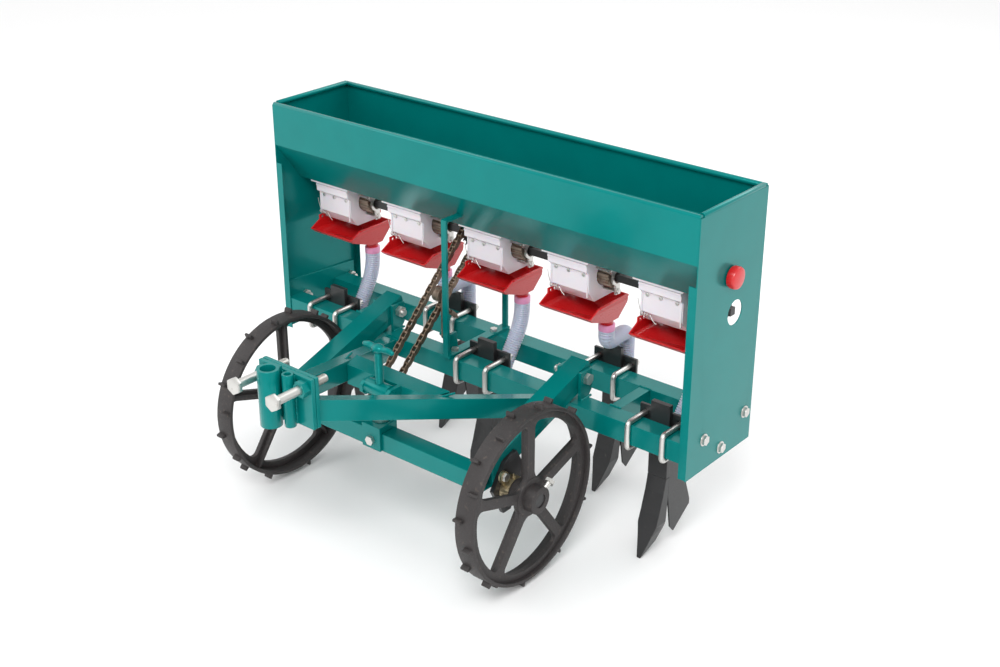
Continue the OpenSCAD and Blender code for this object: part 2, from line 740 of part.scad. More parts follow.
function sub(a, b) = [for (i = [0:2]) a[i] - b[i]];
function unit(v) = v / norm(v);
function route_dir(p, i) = unit(sub(p[min(i + 1, len(p) - 1)], p[max(i - 1, 0)]));
function ring_points(c, d, r, n) =
    let (u = unit(cross(d, [1, 0, 0])), v = cross(d, u))
    [for (k = [0:n - 1]) c + r * (cos(360 * k / n) * u + sin(360 * k / n) * v)];

// S-bend from a to b that leaves and arrives upright; reach says how far it runs straight on
function bend(a, b, reach, n) = [for (k = [0:n]) let (t = k / n, u = 1 - t)
    u * u * u * a + 3 * u * u * t * (a - [0, 0, reach])
        + 3 * u * t * t * (b + [0, 0, reach]) + t * t * t * b];

hose_sides = 12;

module hose_tube(p, r_out, r_in) {
    n = hose_sides;
    m = len(p);
    outer = [for (i = [0:m - 1]) each ring_points(p[i], route_dir(p, i), r_out, n)];
    inner = [for (i = [0:m - 1]) each ring_points(p[i], route_dir(p, i), r_in, n)];
    o = m * n;
    faces = concat(
        [for (i = [0:m - 2]) for (k = [0:n - 1]) let (j = (k + 1) % n)
            each [[i * n + k, i * n + j, (i + 1) * n + j], [i * n + k, (i + 1) * n + j, (i + 1) * n + k]]],
        [for (i = [0:m - 2]) for (k = [0:n - 1]) let (j = (k + 1) % n)
            each [
                [o + i * n + j, o + i * n + k, o + (i + 1) * n + k],
                [o + i * n + j, o + (i + 1) * n + k, o + (i + 1) * n + j]
            ]],
        [for (k = [0:n - 1]) let (j = (k + 1) % n) each [[j, k, o + k], [j, o + k, o + j]]],
        [for (k = [0:n - 1]) let (j = (k + 1) % n, e = (m - 1) * n)
            each [[e + k, e + j, o + e + j], [e + k, o + e + j, o + e + k]]]
    );
    polyhedron(points = concat(outer, inner), faces = faces, convexity = 6);
}

function bar_of(i) = i % 2 == 0 ? front_bar_y : rear_bar_y;
shank_top = bar_top + 38;
boot_back = 68;                                // boot's inlet behind the bar's centre
boot_top = 196;
hose_end = boot_top - 20;
hose_over = shank_top - 4;                    // height where a rear tube is upright again

module seed_tubes() color(hose) place() for (i = [0:rows - 1]) {
    top = [row_x[i] + spigot_x, spigot_y, spigot_low + 18];
    start = top - [0, 0, 20];
    foot = [row_x[i] + opener_shift, bar_of(i) + boot_back, hose_end];
    over = [foot[0], foot[1], hose_over];
    route = i % 2 == 0
        ? concat([top], bend(start, foot, 70, 12))
        : concat([top], bend(start, over, 46, 12), [foot]);
    hose_tube(route, hose_d / 2, spigot_d / 2 + 0.6);
}

// ---- openers ----

module at_openers() for (i = [0:rows - 1])
    translate([row_x[i] + opener_shift, bar_of(i) + bar / 2, 0]) children();

shank_low = 150;

module opener_shanks() color(black) place() at_openers()
    translate([-shank_w / 2, 0, shank_low]) cube([shank_w, shank_t, shank_top - shank_low]);

// Hoe point: it curves forward below the shank and narrows to its tip
module opener_points() color(black) place() at_openers() intersection() {
    side_plate(-shank_w / 2, shank_w / 2, [
        [0, shank_low], [-6, 120], [-18, 80], [-32, 40], [-48, 0],
        [-40, 3], [-8, 22], [6, 50], [9, 90], [shank_t, shank_low]
    ]);
    translate([0, shank_t + 1, 0]) rotate([90, 0, 0]) linear_extrude(80) polygon([
        [-shank_w / 2, shank_low], [-shank_w / 2, 60], [-4, 0],
        [4, 0], [shank_w / 2, 60], [shank_w / 2, shank_low]
    ]);
}

// Seed boot: two side wings with a back, open above and below
module seed_boots() color(black) place() at_openers() {
    inner = hose_d / 2 + 1;
    for (s = [0, 1]) mirror([s, 0, 0]) side_plate(inner, inner + 3, [
        [shank_t, boot_top], [shank_t, 110], [22, 40], [34, 26],
        [84, 62], [84, 72], [70, 110], [70, boot_top]
    ]);
    translate([-inner, 67, 76]) cube([2 * inner, 3, boot_top - 76]);
    translate([-inner, shank_t, 110]) cube([2 * inner, 3, boot_top - 110]);
}

clamp_low = bar_z - bar / 2 - 18;

module clamp_plates() color(black) place() at_openers() difference() {
    translate([-clamp_w / 2, shank_t, clamp_low + gap]) cube([clamp_w, 6, bar + 38]);
    for (s = [-1, 1]) for (z = [-1, 1])
        translate([s * ubolt_pitch / 2, 0, bar_z + z * (bar + ubolt_d + 1) / 2]) rod_y(0, 30, ubolt_d + 1);
}

module u_bolt() {
    r = (bar + ubolt_d + 1) / 2;
    bend = 8;
    union() {
        for (z = [-1, 1]) translate([0, 0, z * r])
            rod_y(-bar - ubolt_d / 2 - 0.5 + bend, shank_t + 22, ubolt_d, 32);
        translate([0, -bar - ubolt_d / 2 - 0.5, -r + bend])
            cylinder(h = 2 * (r - bend), d = ubolt_d, $fn = 32);
        for (z = [-1, 1]) translate([0, -bar - ubolt_d / 2 - 0.5 + bend, z * (r - bend)])
            rotate([0, 90, 0]) rotate([0, 0, z > 0 ? 180 : 270]) rotate_extrude(angle = 90, $fn = 32)
                translate([bend, 0]) circle(d = ubolt_d, $fn = 32);
    }
}

module at_u_bolts() at_openers() for (s = [-1, 1]) translate([s * ubolt_pitch / 2, 0, bar_z]) children();

module u_bolts() color(zinc) place() at_u_bolts() u_bolt();

module u_bolt_nuts() color(zinc) place() at_u_bolts() for (z = [-1, 1])
    translate([0, shank_t + 6, z * (bar + ubolt_d + 1) / 2]) rotate([-90, 0, 0]) hex_nut(ubolt_d);

// ---- wheel frame ----

module at_pivot() translate([0, pivot_y, pivot_z]) rotate([arm_slope, 0, 0]) children();

module wheel_arms() color(teal) place() both() difference() {
    at_pivot() translate([arm_x - arm / 2, -arm_len - 12, -arm / 2]) difference() {
        cube([arm, arm_len + 12 + 24, arm]);
        translate([tube_wall, -1, tube_wall]) cube([arm - 2 * tube_wall, arm_len + 60, arm - 2 * tube_wall]);
    }
    translate([0, pivot_y, pivot_z]) rod_x(arm_x - arm, arm_x + arm, pivot_d);
    translate([0, low_y - 100 + low_bar / 2, low_z]) cube([4 * arm_x, 200, 200], center = true);
}

module lower_bar() color(teal) place() translate([0, low_y, low_z]) tube_x(2 * (arm_x + arm / 2), low_bar, low_bar);

module at_axle() translate([0, -axle_y, axle_z]) children();

module bearing_plates() color(black) place() both() difference() {
    side_plate(bearing_x, bearing_x + bearing_t, [
        [-axle_y - 42, axle_z + 8], [-axle_y - 14, axle_z - 46], [-axle_y + 6, axle_z - 46],
        [-axle_y + 44, axle_z + 24], [-axle_y + 22, axle_z + 64], [-axle_y - 10, axle_z + 54]
    ]);
    at_axle() rod_x(bearing_x - 1, bearing_x + bearing_t + 1, 40);
    for (s = [-1, 1]) at_axle() rotate([-60, 0, 0]) translate([0, s * 36, 0])
        rod_x(bearing_x - 1, bearing_x + bearing_t + 1, 9);
}

// Two-bolt flange bearing
module axle_bearings() color([0.72, 0.66, 0.45]) place() both() at_axle() difference() {
    union() {
        rod_x(bearing_x + bearing_t, bearing_out, 50);
        rotate([-60, 0, 0]) for (s = [-1, 1]) {
            translate([0, s * 36, 0]) rod_x(bearing_x + bearing_t, bearing_x + bearing_t + 6, 20);
            translate([bearing_x + bearing_t, s * 18 - 18, -10]) cube([6, 36, 20]);
        }
    }
    rod_x(bearing_x, bearing_out + 1, axle_d + 2 * run);
    rotate([-60, 0, 0]) for (s = [-1, 1]) translate([0, s * 36, 0]) rod_x(bearing_x, bearing_out, 9);
}

module bearing_bolts() color(zinc) place() {
    both() at_axle() rotate([-60, 0, 0]) for (s = [-1, 1])
        translate([bearing_x + bearing_t + 6, s * 36, 0]) rotate([0, -90, 0]) hex_bolt(8.8, bearing_t + 6);
    translate([0, low_y - low_bar / 2 - saddle_t, low_z]) rotate([-90, 0, 0]) hex_bolt(9.8, saddle_t);
}

// Saddle over the lower bar that the depth screw stands on
saddle_w = 44;
saddle_t = 5;
saddle_top = low_z + low_bar / 2 + 12;

module adjuster_bracket() color(teal) place() difference() {
    y0 = low_y - low_bar / 2;
    y1 = low_y + low_bar / 2;
    side_plate(-saddle_w / 2, saddle_w / 2, [
        [y0 - saddle_t, low_z - low_bar / 2], [y0, low_z - low_bar / 2], [y0, low_z + low_bar / 2],
        [y1, low_z + low_bar / 2], [y1, low_z - low_bar / 2], [y1 + saddle_t, low_z - low_bar / 2],
        [y1 + saddle_t, saddle_top], [y0 - saddle_t, saddle_top]
    ]);
    translate([0, low_y, low_z]) rod_y(-low_bar, -low_bar / 2, 10);
}

// ---- wheels and axle ----

module axle_shaft() color(black) place() at_axle() rod_x(-hub_out + 2, hub_out - 2, axle_d);

module wheel() difference() {
    union() {
        difference() {
            rod_x(rim_out - rim_w, rim_out, wheel_d, 96);
            rod_x(rim_out - rim_w - 1, rim_out + 1, wheel_d - 14, 96);
        }
        difference() {
            rod_x(rim_out - 14, rim_out - 6, wheel_d - 10, 96);
            rod_x(rim_out - 15, rim_out, wheel_d - 44, 96);
        }
        rod_x(hub_in, hub_out, 2 * hub_r);
        for (k = [0:spoke_count - 1]) rotate([360 / spoke_count * k + 8, 0, 0]) {
            translate([rim_out - 16, 0, -9]) cube([10, wheel_d / 2 - 10, 18]);
            translate([rim_out - 26, 0, -3]) cube([16, wheel_d / 2 - 14, 6]);
        }
        for (k = [0:lug_count - 1]) rotate([360 / lug_count * k, 0, 0])
            translate([rim_out - rim_w * (k % 2 == 0 ? 0.5 : 1), wheel_d / 2 - 3, -4])
                cube([rim_w / 2, lug_h + 3, 8]);
    }
    rod_x(hub_in - 1, hub_out + 1, axle_d + 2 * run);
    translate([hub_out - 9, 0, 0]) cylinder(h = 2 * hub_r, d = 10, $fn = 32);
}

module right_wheel() color(black) place() at_axle() rotate([-62, 0, 0]) wheel();

module left_wheel() color(black) place() at_axle() mirror([1, 0, 0]) rotate([-62, 0, 0]) wheel();

module wheel_set_bolts() color(zinc) place() both() at_axle() rotate([-62, 0, 0])
    translate([hub_out - 9, 0, hub_r + 12]) rotate([180, 0, 0]) hex_bolt(9.8, hub_r + 12 - axle_d / 2 - 0.5);

module axle_sprocket() color(black) place() at_axle()
    translate([-chain_x, 0, 0]) sprocket(axle_r, false, axle_d);

// ---- depth adjuster ----

module at_screw() translate([0, screw_y, 0]) children();

module trunnion() color(teal) place() at_screw() translate([0, 0, trunnion_z]) difference() {
    union() {
        rod_x(-trunnion_len / 2, trunnion_len / 2, trunnion_d);
        rod_x(-trunnion_len / 2 - 9, trunnion_len / 2 + 9, 12);
    }
    translate([0, 0, -trunnion_d]) cylinder(h = 2 * trunnion_d, d = screw_d + 2 * run);
}

foot_low = saddle_top + 1;
foot_h = 16;

module screw_foot() color(zinc) place() at_screw() translate([0, 0, foot_low]) difference() {
    cylinder(h = foot_h, d = screw_d + 14);
    translate([0, 0, 4]) cylinder(h = foot_h, d = screw_d - 4 + 2 * run);
}

wing_z = 372;

module adjuster_screw() color(teal) place() at_screw() {
    union() {
        translate([0, 0, foot_low + 4 + gap]) cylinder(h = foot_h, d = screw_d - 4);
        translate([0, 0, foot_low + foot_h + gap]) cylinder(h = wing_z - foot_low - foot_h, d = screw_d);
        translate([0, 0, wing_z - 4]) cylinder(h = 18, d = 26);
        for (s = [-1, 1]) translate([s * 22, 0, wing_z + 4]) cube([32, 12, 14], center = true);
    }
}

front_crossbar();
rear_crossbar();
cross_ties();
frame_end_plates();
pivot_ears();
drawbar_arms();
drawbar_cross_tube();
trunnion_lugs();
hitch_rear_plate();
hitch_front_plate();
hitch_socket();
hitch_bolts();
hitch_nuts();
hopper_body();
left_end_plate();
right_end_plate();
hopper_brace();
brace_bolts();
end_plate_bolts();
end_plate_nuts();
meter_housings();
meter_retainers();
seed_funnels();
shaft_bushes();
seed_tubes();
opener_shanks();
opener_points();
seed_boots();
clamp_plates();
u_bolts();
u_bolt_nuts();
drive_chain();
arm_pivot_bolts();
lower_bar();
wheel_arms();
bearing_plates();
axle_bearings();
bearing_bolts();
adjuster_bracket();
axle_shaft();
left_wheel();
right_wheel();
axle_sprocket();
wheel_set_bolts();
feed_shaft();
feed_rollers();
feed_sprocket();
feed_collar();
agitator_shaft();
agitator_knob();
tensioner_arm();
idler_roller();
trunnion();
screw_foot();
adjuster_screw();
row_gate_1();
row_gate_2();
row_gate_3();
row_gate_4();
row_gate_5();
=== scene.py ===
"""Looks of the five-row seeder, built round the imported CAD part, with a studio to show it in."""

import json
import logging
import math
from dataclasses import dataclass, field
from enum import Enum

import bpy
from mathutils import Matrix, Vector


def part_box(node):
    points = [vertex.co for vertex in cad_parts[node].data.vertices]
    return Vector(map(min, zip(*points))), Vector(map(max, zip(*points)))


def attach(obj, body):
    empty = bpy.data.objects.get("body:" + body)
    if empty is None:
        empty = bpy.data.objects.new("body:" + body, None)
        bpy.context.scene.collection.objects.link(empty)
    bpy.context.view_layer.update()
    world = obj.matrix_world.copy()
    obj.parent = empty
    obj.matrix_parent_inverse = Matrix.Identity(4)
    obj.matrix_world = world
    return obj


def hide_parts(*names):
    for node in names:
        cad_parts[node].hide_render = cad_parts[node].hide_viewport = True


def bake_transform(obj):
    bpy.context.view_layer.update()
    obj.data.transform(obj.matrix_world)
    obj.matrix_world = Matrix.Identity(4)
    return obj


logging.basicConfig(level=logging.INFO, format="%(name)s: %(message)s")
LOG = logging.getLogger("seeder")

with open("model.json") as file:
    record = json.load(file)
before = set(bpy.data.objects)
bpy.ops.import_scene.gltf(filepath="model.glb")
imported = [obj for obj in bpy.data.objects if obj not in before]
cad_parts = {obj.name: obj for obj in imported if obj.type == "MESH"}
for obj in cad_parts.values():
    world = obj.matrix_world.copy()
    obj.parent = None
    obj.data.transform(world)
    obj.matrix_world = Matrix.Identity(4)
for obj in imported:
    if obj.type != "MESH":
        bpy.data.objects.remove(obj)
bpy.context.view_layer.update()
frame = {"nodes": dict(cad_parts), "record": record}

MM = 0.001
Colour = tuple[float, float, float]
Point = tuple[float, float, float]
Place = Vector | Point


class Slot(Enum):
    """The record's material slots."""

    TEAL = "teal_paint"
    CASTING = "black_iron"
    BLACK = "black_paint"
    ZINC = "zinc"
    YELLOW = "yellow_zinc"
    WHITE = "white_plastic"
    RED = "red_plastic"
    HOSE = "clear_hose"
    BROWN = "brown_steel"
    CHAIN = "chain_steel"


class Axis(Enum):
    """Direction that a round piece runs in, as the turn that brings Z there."""

    X = (0.0, math.pi / 2, 0.0)
    Y = (-math.pi / 2, 0.0, 0.0)
    Z = (0.0, 0.0, 0.0)


# ---- finishes ----


@dataclass(frozen=True)
class Finish:
    """A surface as a procedural material.

    Attributes:
        slot: The record's slot that it belongs to.
        colour: Base colour, linear.
        rough: Middle roughness.
        metal: Metallic share.
        coat: Clear coat's weight.
        patch: How far broad patches darken the colour, 0 to 1.
        grain: Scale of the fine grain, per metre.
        bump: Strength of the grain's relief.
        stain: Colour of the dirt or wear.
        stained: Share of the surface that the stain reaches.
        through: Light let through, for milky plastic.
        soft: Light scattered below the surface.
        gloss: Strength of the mirrored light at the surface.
        tint: Colour of the mirrored light.
    """

    slot: Slot
    colour: tuple[float, float, float]
    rough: float
    metal: float = 0.0
    coat: float = 0.0
    patch: float = 0.1
    grain: float = 900.0
    bump: float = 0.08
    stain: tuple[float, float, float] = (0.12, 0.10, 0.08)
    stained: float = 0.1
    through: float = 0.0
    soft: float = 0.0
    gloss: float = 0.5
    tint: tuple[float, float, float] = (1.0, 1.0, 1.0)

    def material(self) -> bpy.types.Material:
        """Makes the material.

        Returns:
            The material, named after its slot.
        """
        material = bpy.data.materials.new(self.slot.value)
        material.use_nodes = True
        tree = material.node_tree
        shader = tree.nodes["Principled BSDF"]
        place = tree.nodes.new("ShaderNodeTexCoord").outputs["Object"]
        broad = self._noise(tree, place, 14.0, 4.0)
        fine = self._noise(tree, place, self.grain, 3.0)
        spots = self._noise(tree, place, 120.0, 8.0)
        dark = tuple(c * (1.0 - self.patch) for c in self.colour)
        light = tuple(min(1.0, c * (1.0 + self.patch)) for c in self.colour)
        base = self._mix(tree, broad, dark, light)
        mask = self._range(tree, spots, 0.72 - 0.35 * self.stained, 0.80, 0.0, 0.8)
        worn = tree.nodes.new("ShaderNodeMix")
        worn.data_type = "RGBA"
        tree.links.new(mask, worn.inputs["Factor"])
        tree.links.new(base, worn.inputs[6])
        worn.inputs[7].default_value = (*self.stain, 1.0)
        tree.links.new(worn.outputs[2], shader.inputs["Base Color"])
        rough = self._range(tree, fine, 0.3, 0.7, self.rough * 0.85, min(1.0, self.rough * 1.2))
        tree.links.new(rough, shader.inputs["Roughness"])
        relief = tree.nodes.new("ShaderNodeBump")
        relief.inputs["Strength"].default_value = self.bump
        relief.inputs["Distance"].default_value = 0.4 * MM
        tree.links.new(fine, relief.inputs["Height"])
        tree.links.new(relief.outputs["Normal"], shader.inputs["Normal"])
        shader.inputs["Metallic"].default_value = self.metal
        shader.inputs["Specular IOR Level"].default_value = self.gloss
        shader.inputs["Specular Tint"].default_value = (*self.tint, 1.0)
        shader.inputs["Coat Weight"].default_value = self.coat
        shader.inputs["Coat Roughness"].default_value = 0.08
        shader.inputs["Transmission Weight"].default_value = self.through
        shader.inputs["Subsurface Weight"].default_value = self.soft
        shader.inputs["Subsurface Scale"].default_value = 0.004
        return material

    @staticmethod
    def _noise(tree: bpy.types.NodeTree, place: bpy.types.NodeSocket, scale: float,
               detail: float) -> bpy.types.NodeSocket:
        """Returns a noise value at those coordinates."""
        node = tree.nodes.new("ShaderNodeTexNoise")
        node.inputs["Scale"].default_value = scale
        node.inputs["Detail"].default_value = detail
        tree.links.new(place, node.inputs["Vector"])
        return node.outputs["Fac"]

    @staticmethod
    def _range(tree: bpy.types.NodeTree, value: bpy.types.NodeSocket, low: float, high: float,
               to_low: float, to_high: float) -> bpy.types.NodeSocket:
        """Returns value mapped from low..high to to_low..to_high."""
        node = tree.nodes.new("ShaderNodeMapRange")
        tree.links.new(value, node.inputs["Value"])
        names = ("From Min", "From Max", "To Min", "To Max")
        for name, number in zip(names, (low, high, to_low, to_high)):
            node.inputs[name].default_value = number
        return node.outputs["Result"]

    @staticmethod
    def _mix(tree: bpy.types.NodeTree, factor: bpy.types.NodeSocket, first: Colour,
             second: Colour) -> bpy.types.NodeSocket:
        """Returns a colour between two, by factor."""
        node = tree.nodes.new("ShaderNodeMix")
        node.data_type = "RGBA"
        tree.links.new(factor, node.inputs["Factor"])
        node.inputs[6].default_value = (*first, 1.0)
        node.inputs[7].default_value = (*second, 1.0)
        return node.outputs[2]


FINISHES = (
    Finish(Slot.TEAL, (0.0, 0.148, 0.140), 0.22, coat=0.10, patch=0.12, grain=700, bump=0.04,
           stain=(0.002, 0.10, 0.09), stained=0.05, gloss=0.65, tint=(0.08, 1.0, 0.95)),
    Finish(Slot.CASTING, (0.026, 0.022, 0.022), 0.55, patch=0.35, grain=420, bump=0.5,
           stain=(0.10, 0.075, 0.06), stained=0.35),
    Finish(Slot.BLACK, (0.014, 0.014, 0.015), 0.42, coat=0.15, patch=0.25, grain=600, bump=0.2,
           stain=(0.07, 0.06, 0.055), stained=0.2),
    Finish(Slot.ZINC, (0.62, 0.61, 0.585), 0.34, metal=0.95, patch=0.15, grain=900, bump=0.12,
           stain=(0.36, 0.33, 0.28), stained=0.3),
    Finish(Slot.YELLOW, (0.50, 0.42, 0.27), 0.36, metal=0.9, patch=0.3, grain=700, bump=0.15,
           stain=(0.22, 0.15, 0.10), stained=0.4),
    Finish(Slot.WHITE, (0.70, 0.66, 0.70), 0.42, patch=0.05, grain=500, bump=0.04,
           stain=(0.66, 0.56, 0.60), stained=0.15, soft=0.25),
    Finish(Slot.RED, (0.56, 0.008, 0.010), 0.30, coat=0.3, patch=0.10, grain=600, bump=0.04,
           stain=(0.40, 0.01, 0.01), stained=0.05, soft=0.08),
    Finish(Slot.HOSE, (0.60, 0.64, 0.78), 0.32, patch=0.06, grain=500, bump=0.05,
           stain=(0.60, 0.60, 0.70), stained=0.1, through=0.25, soft=0.2),
    Finish(Slot.BROWN, (0.23, 0.18, 0.14), 0.45, metal=0.7, patch=0.3, grain=650, bump=0.25,
           stain=(0.12, 0.06, 0.035), stained=0.5),
    Finish(Slot.CHAIN, (0.20, 0.145, 0.105), 0.34, metal=0.85, patch=0.4, grain=700, bump=0.2,
           stain=(0.035, 0.022, 0.016), stained=0.45),
)
MATERIALS = {finish.slot: finish.material() for finish in FINISHES}
PINK_COLLAR = Finish(Slot.HOSE, (0.72, 0.30, 0.50), 0.35, patch=0.08, stained=0.1, soft=0.2)


# ---- the workshop ----


class Workshop:
    """Makes, cuts and joins solid pieces. All of them end with their place in their vertices."""

    @staticmethod
    def pick(*objects: bpy.types.Object) -> None:
        """Selects only these objects; the first is the active one."""
        bpy.ops.object.select_all(action="DESELECT")
        for obj in objects:
            obj.select_set(True)
        bpy.context.view_layer.objects.active = objects[0]

    @classmethod
    def settle(cls, obj: bpy.types.Object) -> bpy.types.Object:
        """Moves the object's place, turn and scale into its vertices."""
        cls.pick(obj)
        bpy.ops.object.transform_apply(location=True, rotation=True, scale=True)
        return obj

    @classmethod
    def modify(cls, obj: bpy.types.Object, kind: str, **settings) -> bpy.types.Object:
        """Adds a modifier with these settings and applies it."""
        cls.pick(obj)
        modifier = obj.modifiers.new(kind.lower(), kind)
        for name, value in settings.items():
            setattr(modifier, name, value)
        bpy.ops.object.modifier_apply(modifier=modifier.name)
        return obj

    @classmethod
    def soften(cls, obj: bpy.types.Object, width: float, segments: int = 2) -> bpy.types.Object:
        """Rounds the sharp edges by width, in metres."""
        return cls.modify(obj, "BEVEL", width=width, segments=segments, limit_method="ANGLE",
                          angle_limit=math.radians(35), use_clamp_overlap=True)

    @classmethod
    def block(cls, low: Place, high: Place, round_by: float = 0.0) -> bpy.types.Object:
        """A box from its lowest to its highest corner."""
        low, high = Vector(low), Vector(high)
        bpy.ops.mesh.primitive_cube_add(size=1, location=(low + high) / 2)
        obj = bpy.context.object
        obj.scale = high - low
        cls.settle(obj)
        return cls.soften(obj, round_by) if round_by else obj

    @classmethod
    def rod(cls, centre: Place, radius: float, length: float, axis: Axis, sides: int = 32,
            round_by: float = 0.0, taper: float = 1.0) -> bpy.types.Object:
        """A round bar about its middle; taper is its far end's radius as a share of its near end's."""
        bpy.ops.mesh.primitive_cone_add(vertices=sides, radius1=radius, radius2=radius * taper,
                                        depth=length, location=centre, rotation=axis.value)
        obj = cls.settle(bpy.context.object)
        return cls.soften(obj, round_by) if round_by else obj

    @classmethod
    def bar(cls, start: Place, end: Place, radius: float, sides: int = 16) -> bpy.types.Object:
        """A round bar from point to point."""
        start, end = Vector(start), Vector(end)
        turn = (end - start).to_track_quat("Z", "Y").to_euler()
        bpy.ops.mesh.primitive_cylinder_add(vertices=sides, radius=radius, depth=(end - start).length,
                                            location=(start + end) / 2, rotation=turn)
        return cls.settle(bpy.context.object)

    @classmethod
    def ring(cls, centre: Place, radius: float, wire: float, axis: Axis,
             sides: int = 32) -> bpy.types.Object:
        """A torus of that wire radius."""
        bpy.ops.mesh.primitive_torus_add(major_radius=radius, minor_radius=wire, major_segments=sides,
                                         minor_segments=8, location=centre, rotation=axis.value)
        return cls.settle(bpy.context.object)

    @classmethod
    def drum(cls, points: list[tuple[float, float]], low: float, high: float) -> bpy.types.Object:
        """A prism along X with that outline in Y and Z."""
        area = sum(a[0] * b[1] - b[0] * a[1] for a, b in zip(points, points[1:] + points[:1]))
        ring = points[::-1] if area > 0 else points
        bpy.ops.mesh.primitive_cylinder_add(vertices=len(ring), radius=1, depth=2,
                                            rotation=Axis.X.value)
        obj = cls.settle(bpy.context.object)
        for number, (y, z) in enumerate(ring):
            obj.data.vertices[2 * number].co = (low, y, z)
            obj.data.vertices[2 * number + 1].co = (high, y, z)
        return obj

    @classmethod
    def cut(cls, obj: bpy.types.Object, *cutters: bpy.types.Object) -> bpy.types.Object:
        """Takes the cutters away from the object."""
        for cutter in cutters:
            cls.modify(obj, "BOOLEAN", operation="DIFFERENCE", object=cutter, solver="EXACT")
            bpy.data.objects.remove(cutter)
        return obj

    @classmethod
    def copy(cls, obj: bpy.types.Object, matrix: Matrix) -> bpy.types.Object:
        """A copy of the object, placed by a matrix."""
        twin = obj.copy()
        twin.data = obj.data.copy()
        bpy.context.collection.objects.link(twin)
        twin.data.transform(matrix)
        return twin

    @classmethod
    def join(cls, objects: list[bpy.types.Object]) -> bpy.types.Object:
        """Joins objects into the first."""
        cls.pick(*objects)
        if len(objects) > 1:
            bpy.ops.object.join()
        return bpy.context.view_layer.objects.active

    @classmethod
    def hexagon(cls, centre: Place, radius: float, length: float, axis: Axis) -> bpy.types.Object:
        """A hexagon head or nut with chamfered corners."""
        return cls.rod(centre, radius, length, axis, sides=6, round_by=radius * 0.08)

    @classmethod
    def sweep(cls, route: list[Vector], radius: float, sides: int = 3) -> bpy.types.Object:
        """A round wire along a route of points."""
        curve = bpy.data.curves.new("wire", "CURVE")
        curve.dimensions = "3D"
        curve.bevel_depth = radius
        curve.bevel_resolution = sides
        curve.use_fill_caps = True
        spline = curve.splines.new("NURBS")
        spline.points.add(len(route) - 1)
        for point, place in zip(spline.points, route):
            point.co = (*place, 1.0)
        spline.use_endpoint_u = True
        spline.order_u = min(4, len(route))
        obj = bpy.data.objects.new("wire", curve)
        bpy.context.collection.objects.link(obj)
        cls.pick(obj)
        bpy.ops.object.convert(target="MESH")
        return bpy.context.object

    @classmethod
    def weld(cls, start: Place, end: Place, size: float) -> bpy.types.Object:
        """A weld bead: overlapping drops from point to point."""
        start, end = Vector(start), Vector(end)
        count = max(2, int((end - start).length / (0.6 * size)))
        bpy.ops.mesh.primitive_uv_sphere_add(segments=10, ring_count=6, radius=size)
        drop = cls.settle(bpy.context.object)
        drops = []
        for step in range(count + 1):
            wobble = 1.0 + 0.12 * math.sin(7.3 * step)
            place = Matrix.Translation(start.lerp(end, step / count))
            drops.append(cls.copy(drop, place @ Matrix.Scale(wobble, 4)))
        bpy.data.objects.remove(drop)
        return cls.join(drops)

    @classmethod
    def finish(cls, obj: bpy.types.Object, name: str, slot: Slot, body: str, *replaced: str,
               angle: float = 35.0) -> bpy.types.Object:
        """Names, smooths, paints and seats a piece.

        Args:
            obj: The piece.
            name: Its name.
            slot: Its material slot.
            body: The CAD body that it rides on.
            *replaced: The CAD nodes that it stands for.
            angle: Edges sharper than this, in degrees, stay sharp.

        Returns:
            The piece.
        """
        obj.name = name
        cls.pick(obj)
        bpy.ops.object.shade_smooth_by_angle(angle=math.radians(angle))
        obj.data.materials.clear()
        obj.data.materials.append(MATERIALS[slot])
        if body:
            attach(obj, body)
        if replaced:
            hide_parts(*replaced)
        LOG.info("%s: %d faces", name, len(obj.data.polygons))
        return obj


def middle(node: str) -> Vector:
    """Returns the middle of a CAD node's box."""
    low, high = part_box(node)
    return (Vector(low) + Vector(high)) / 2


def evenly(route: list[Vector], count: int) -> list[Vector]:
    """Walks a route in steps of one length.

    Args:
        route: The points to walk along.
        count: The number of steps.

    Returns:
        The steps' ends, from the route's start to its end.
    """
    lengths = [(b - a).length for a, b in zip(route, route[1:])]
    total = sum(lengths)
    walked, index, points = 0.0, 0, []
    for number in range(count + 1):
        target = min(number * (total / count), total - 1e-9)
        while index < len(lengths) - 1 and walked + lengths[index] < target:
            walked += lengths[index]
            index += 1
        points.append(route[index].lerp(route[index + 1], (target - walked) / lengths[index]))
    return points


def length_of(route: list[Vector]) -> float:
    """Returns a route's length."""
    return sum((b - a).length for a, b in zip(route, route[1:]))


def both_sides() -> tuple[int, int]:
    """Returns the signs of the left and right side."""
    return -1, 1


@dataclass
class Layout:
    """Places shared by the sub-assemblies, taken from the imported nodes."""

    rows: list[float] = field(default_factory=list)

    def __post_init__(self) -> None:
        """Reads the rows from the gates."""
        gates = [middle(f"row_gate_{number}").x for number in range(1, 6)]
        shift = 18 * MM
        self.rows = [x + shift for x in gates]
        self.axle = middle("axle_shaft")
        self.feed = middle("feed_sprocket")
        self.funnel_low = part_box("seed_funnels")[0][2]
        self.funnel_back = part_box("seed_funnels")[1][1]
        self.meter_low, self.meter_high = (Vector(c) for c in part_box("meter_housings"))


# ---- sub-assemblies ----


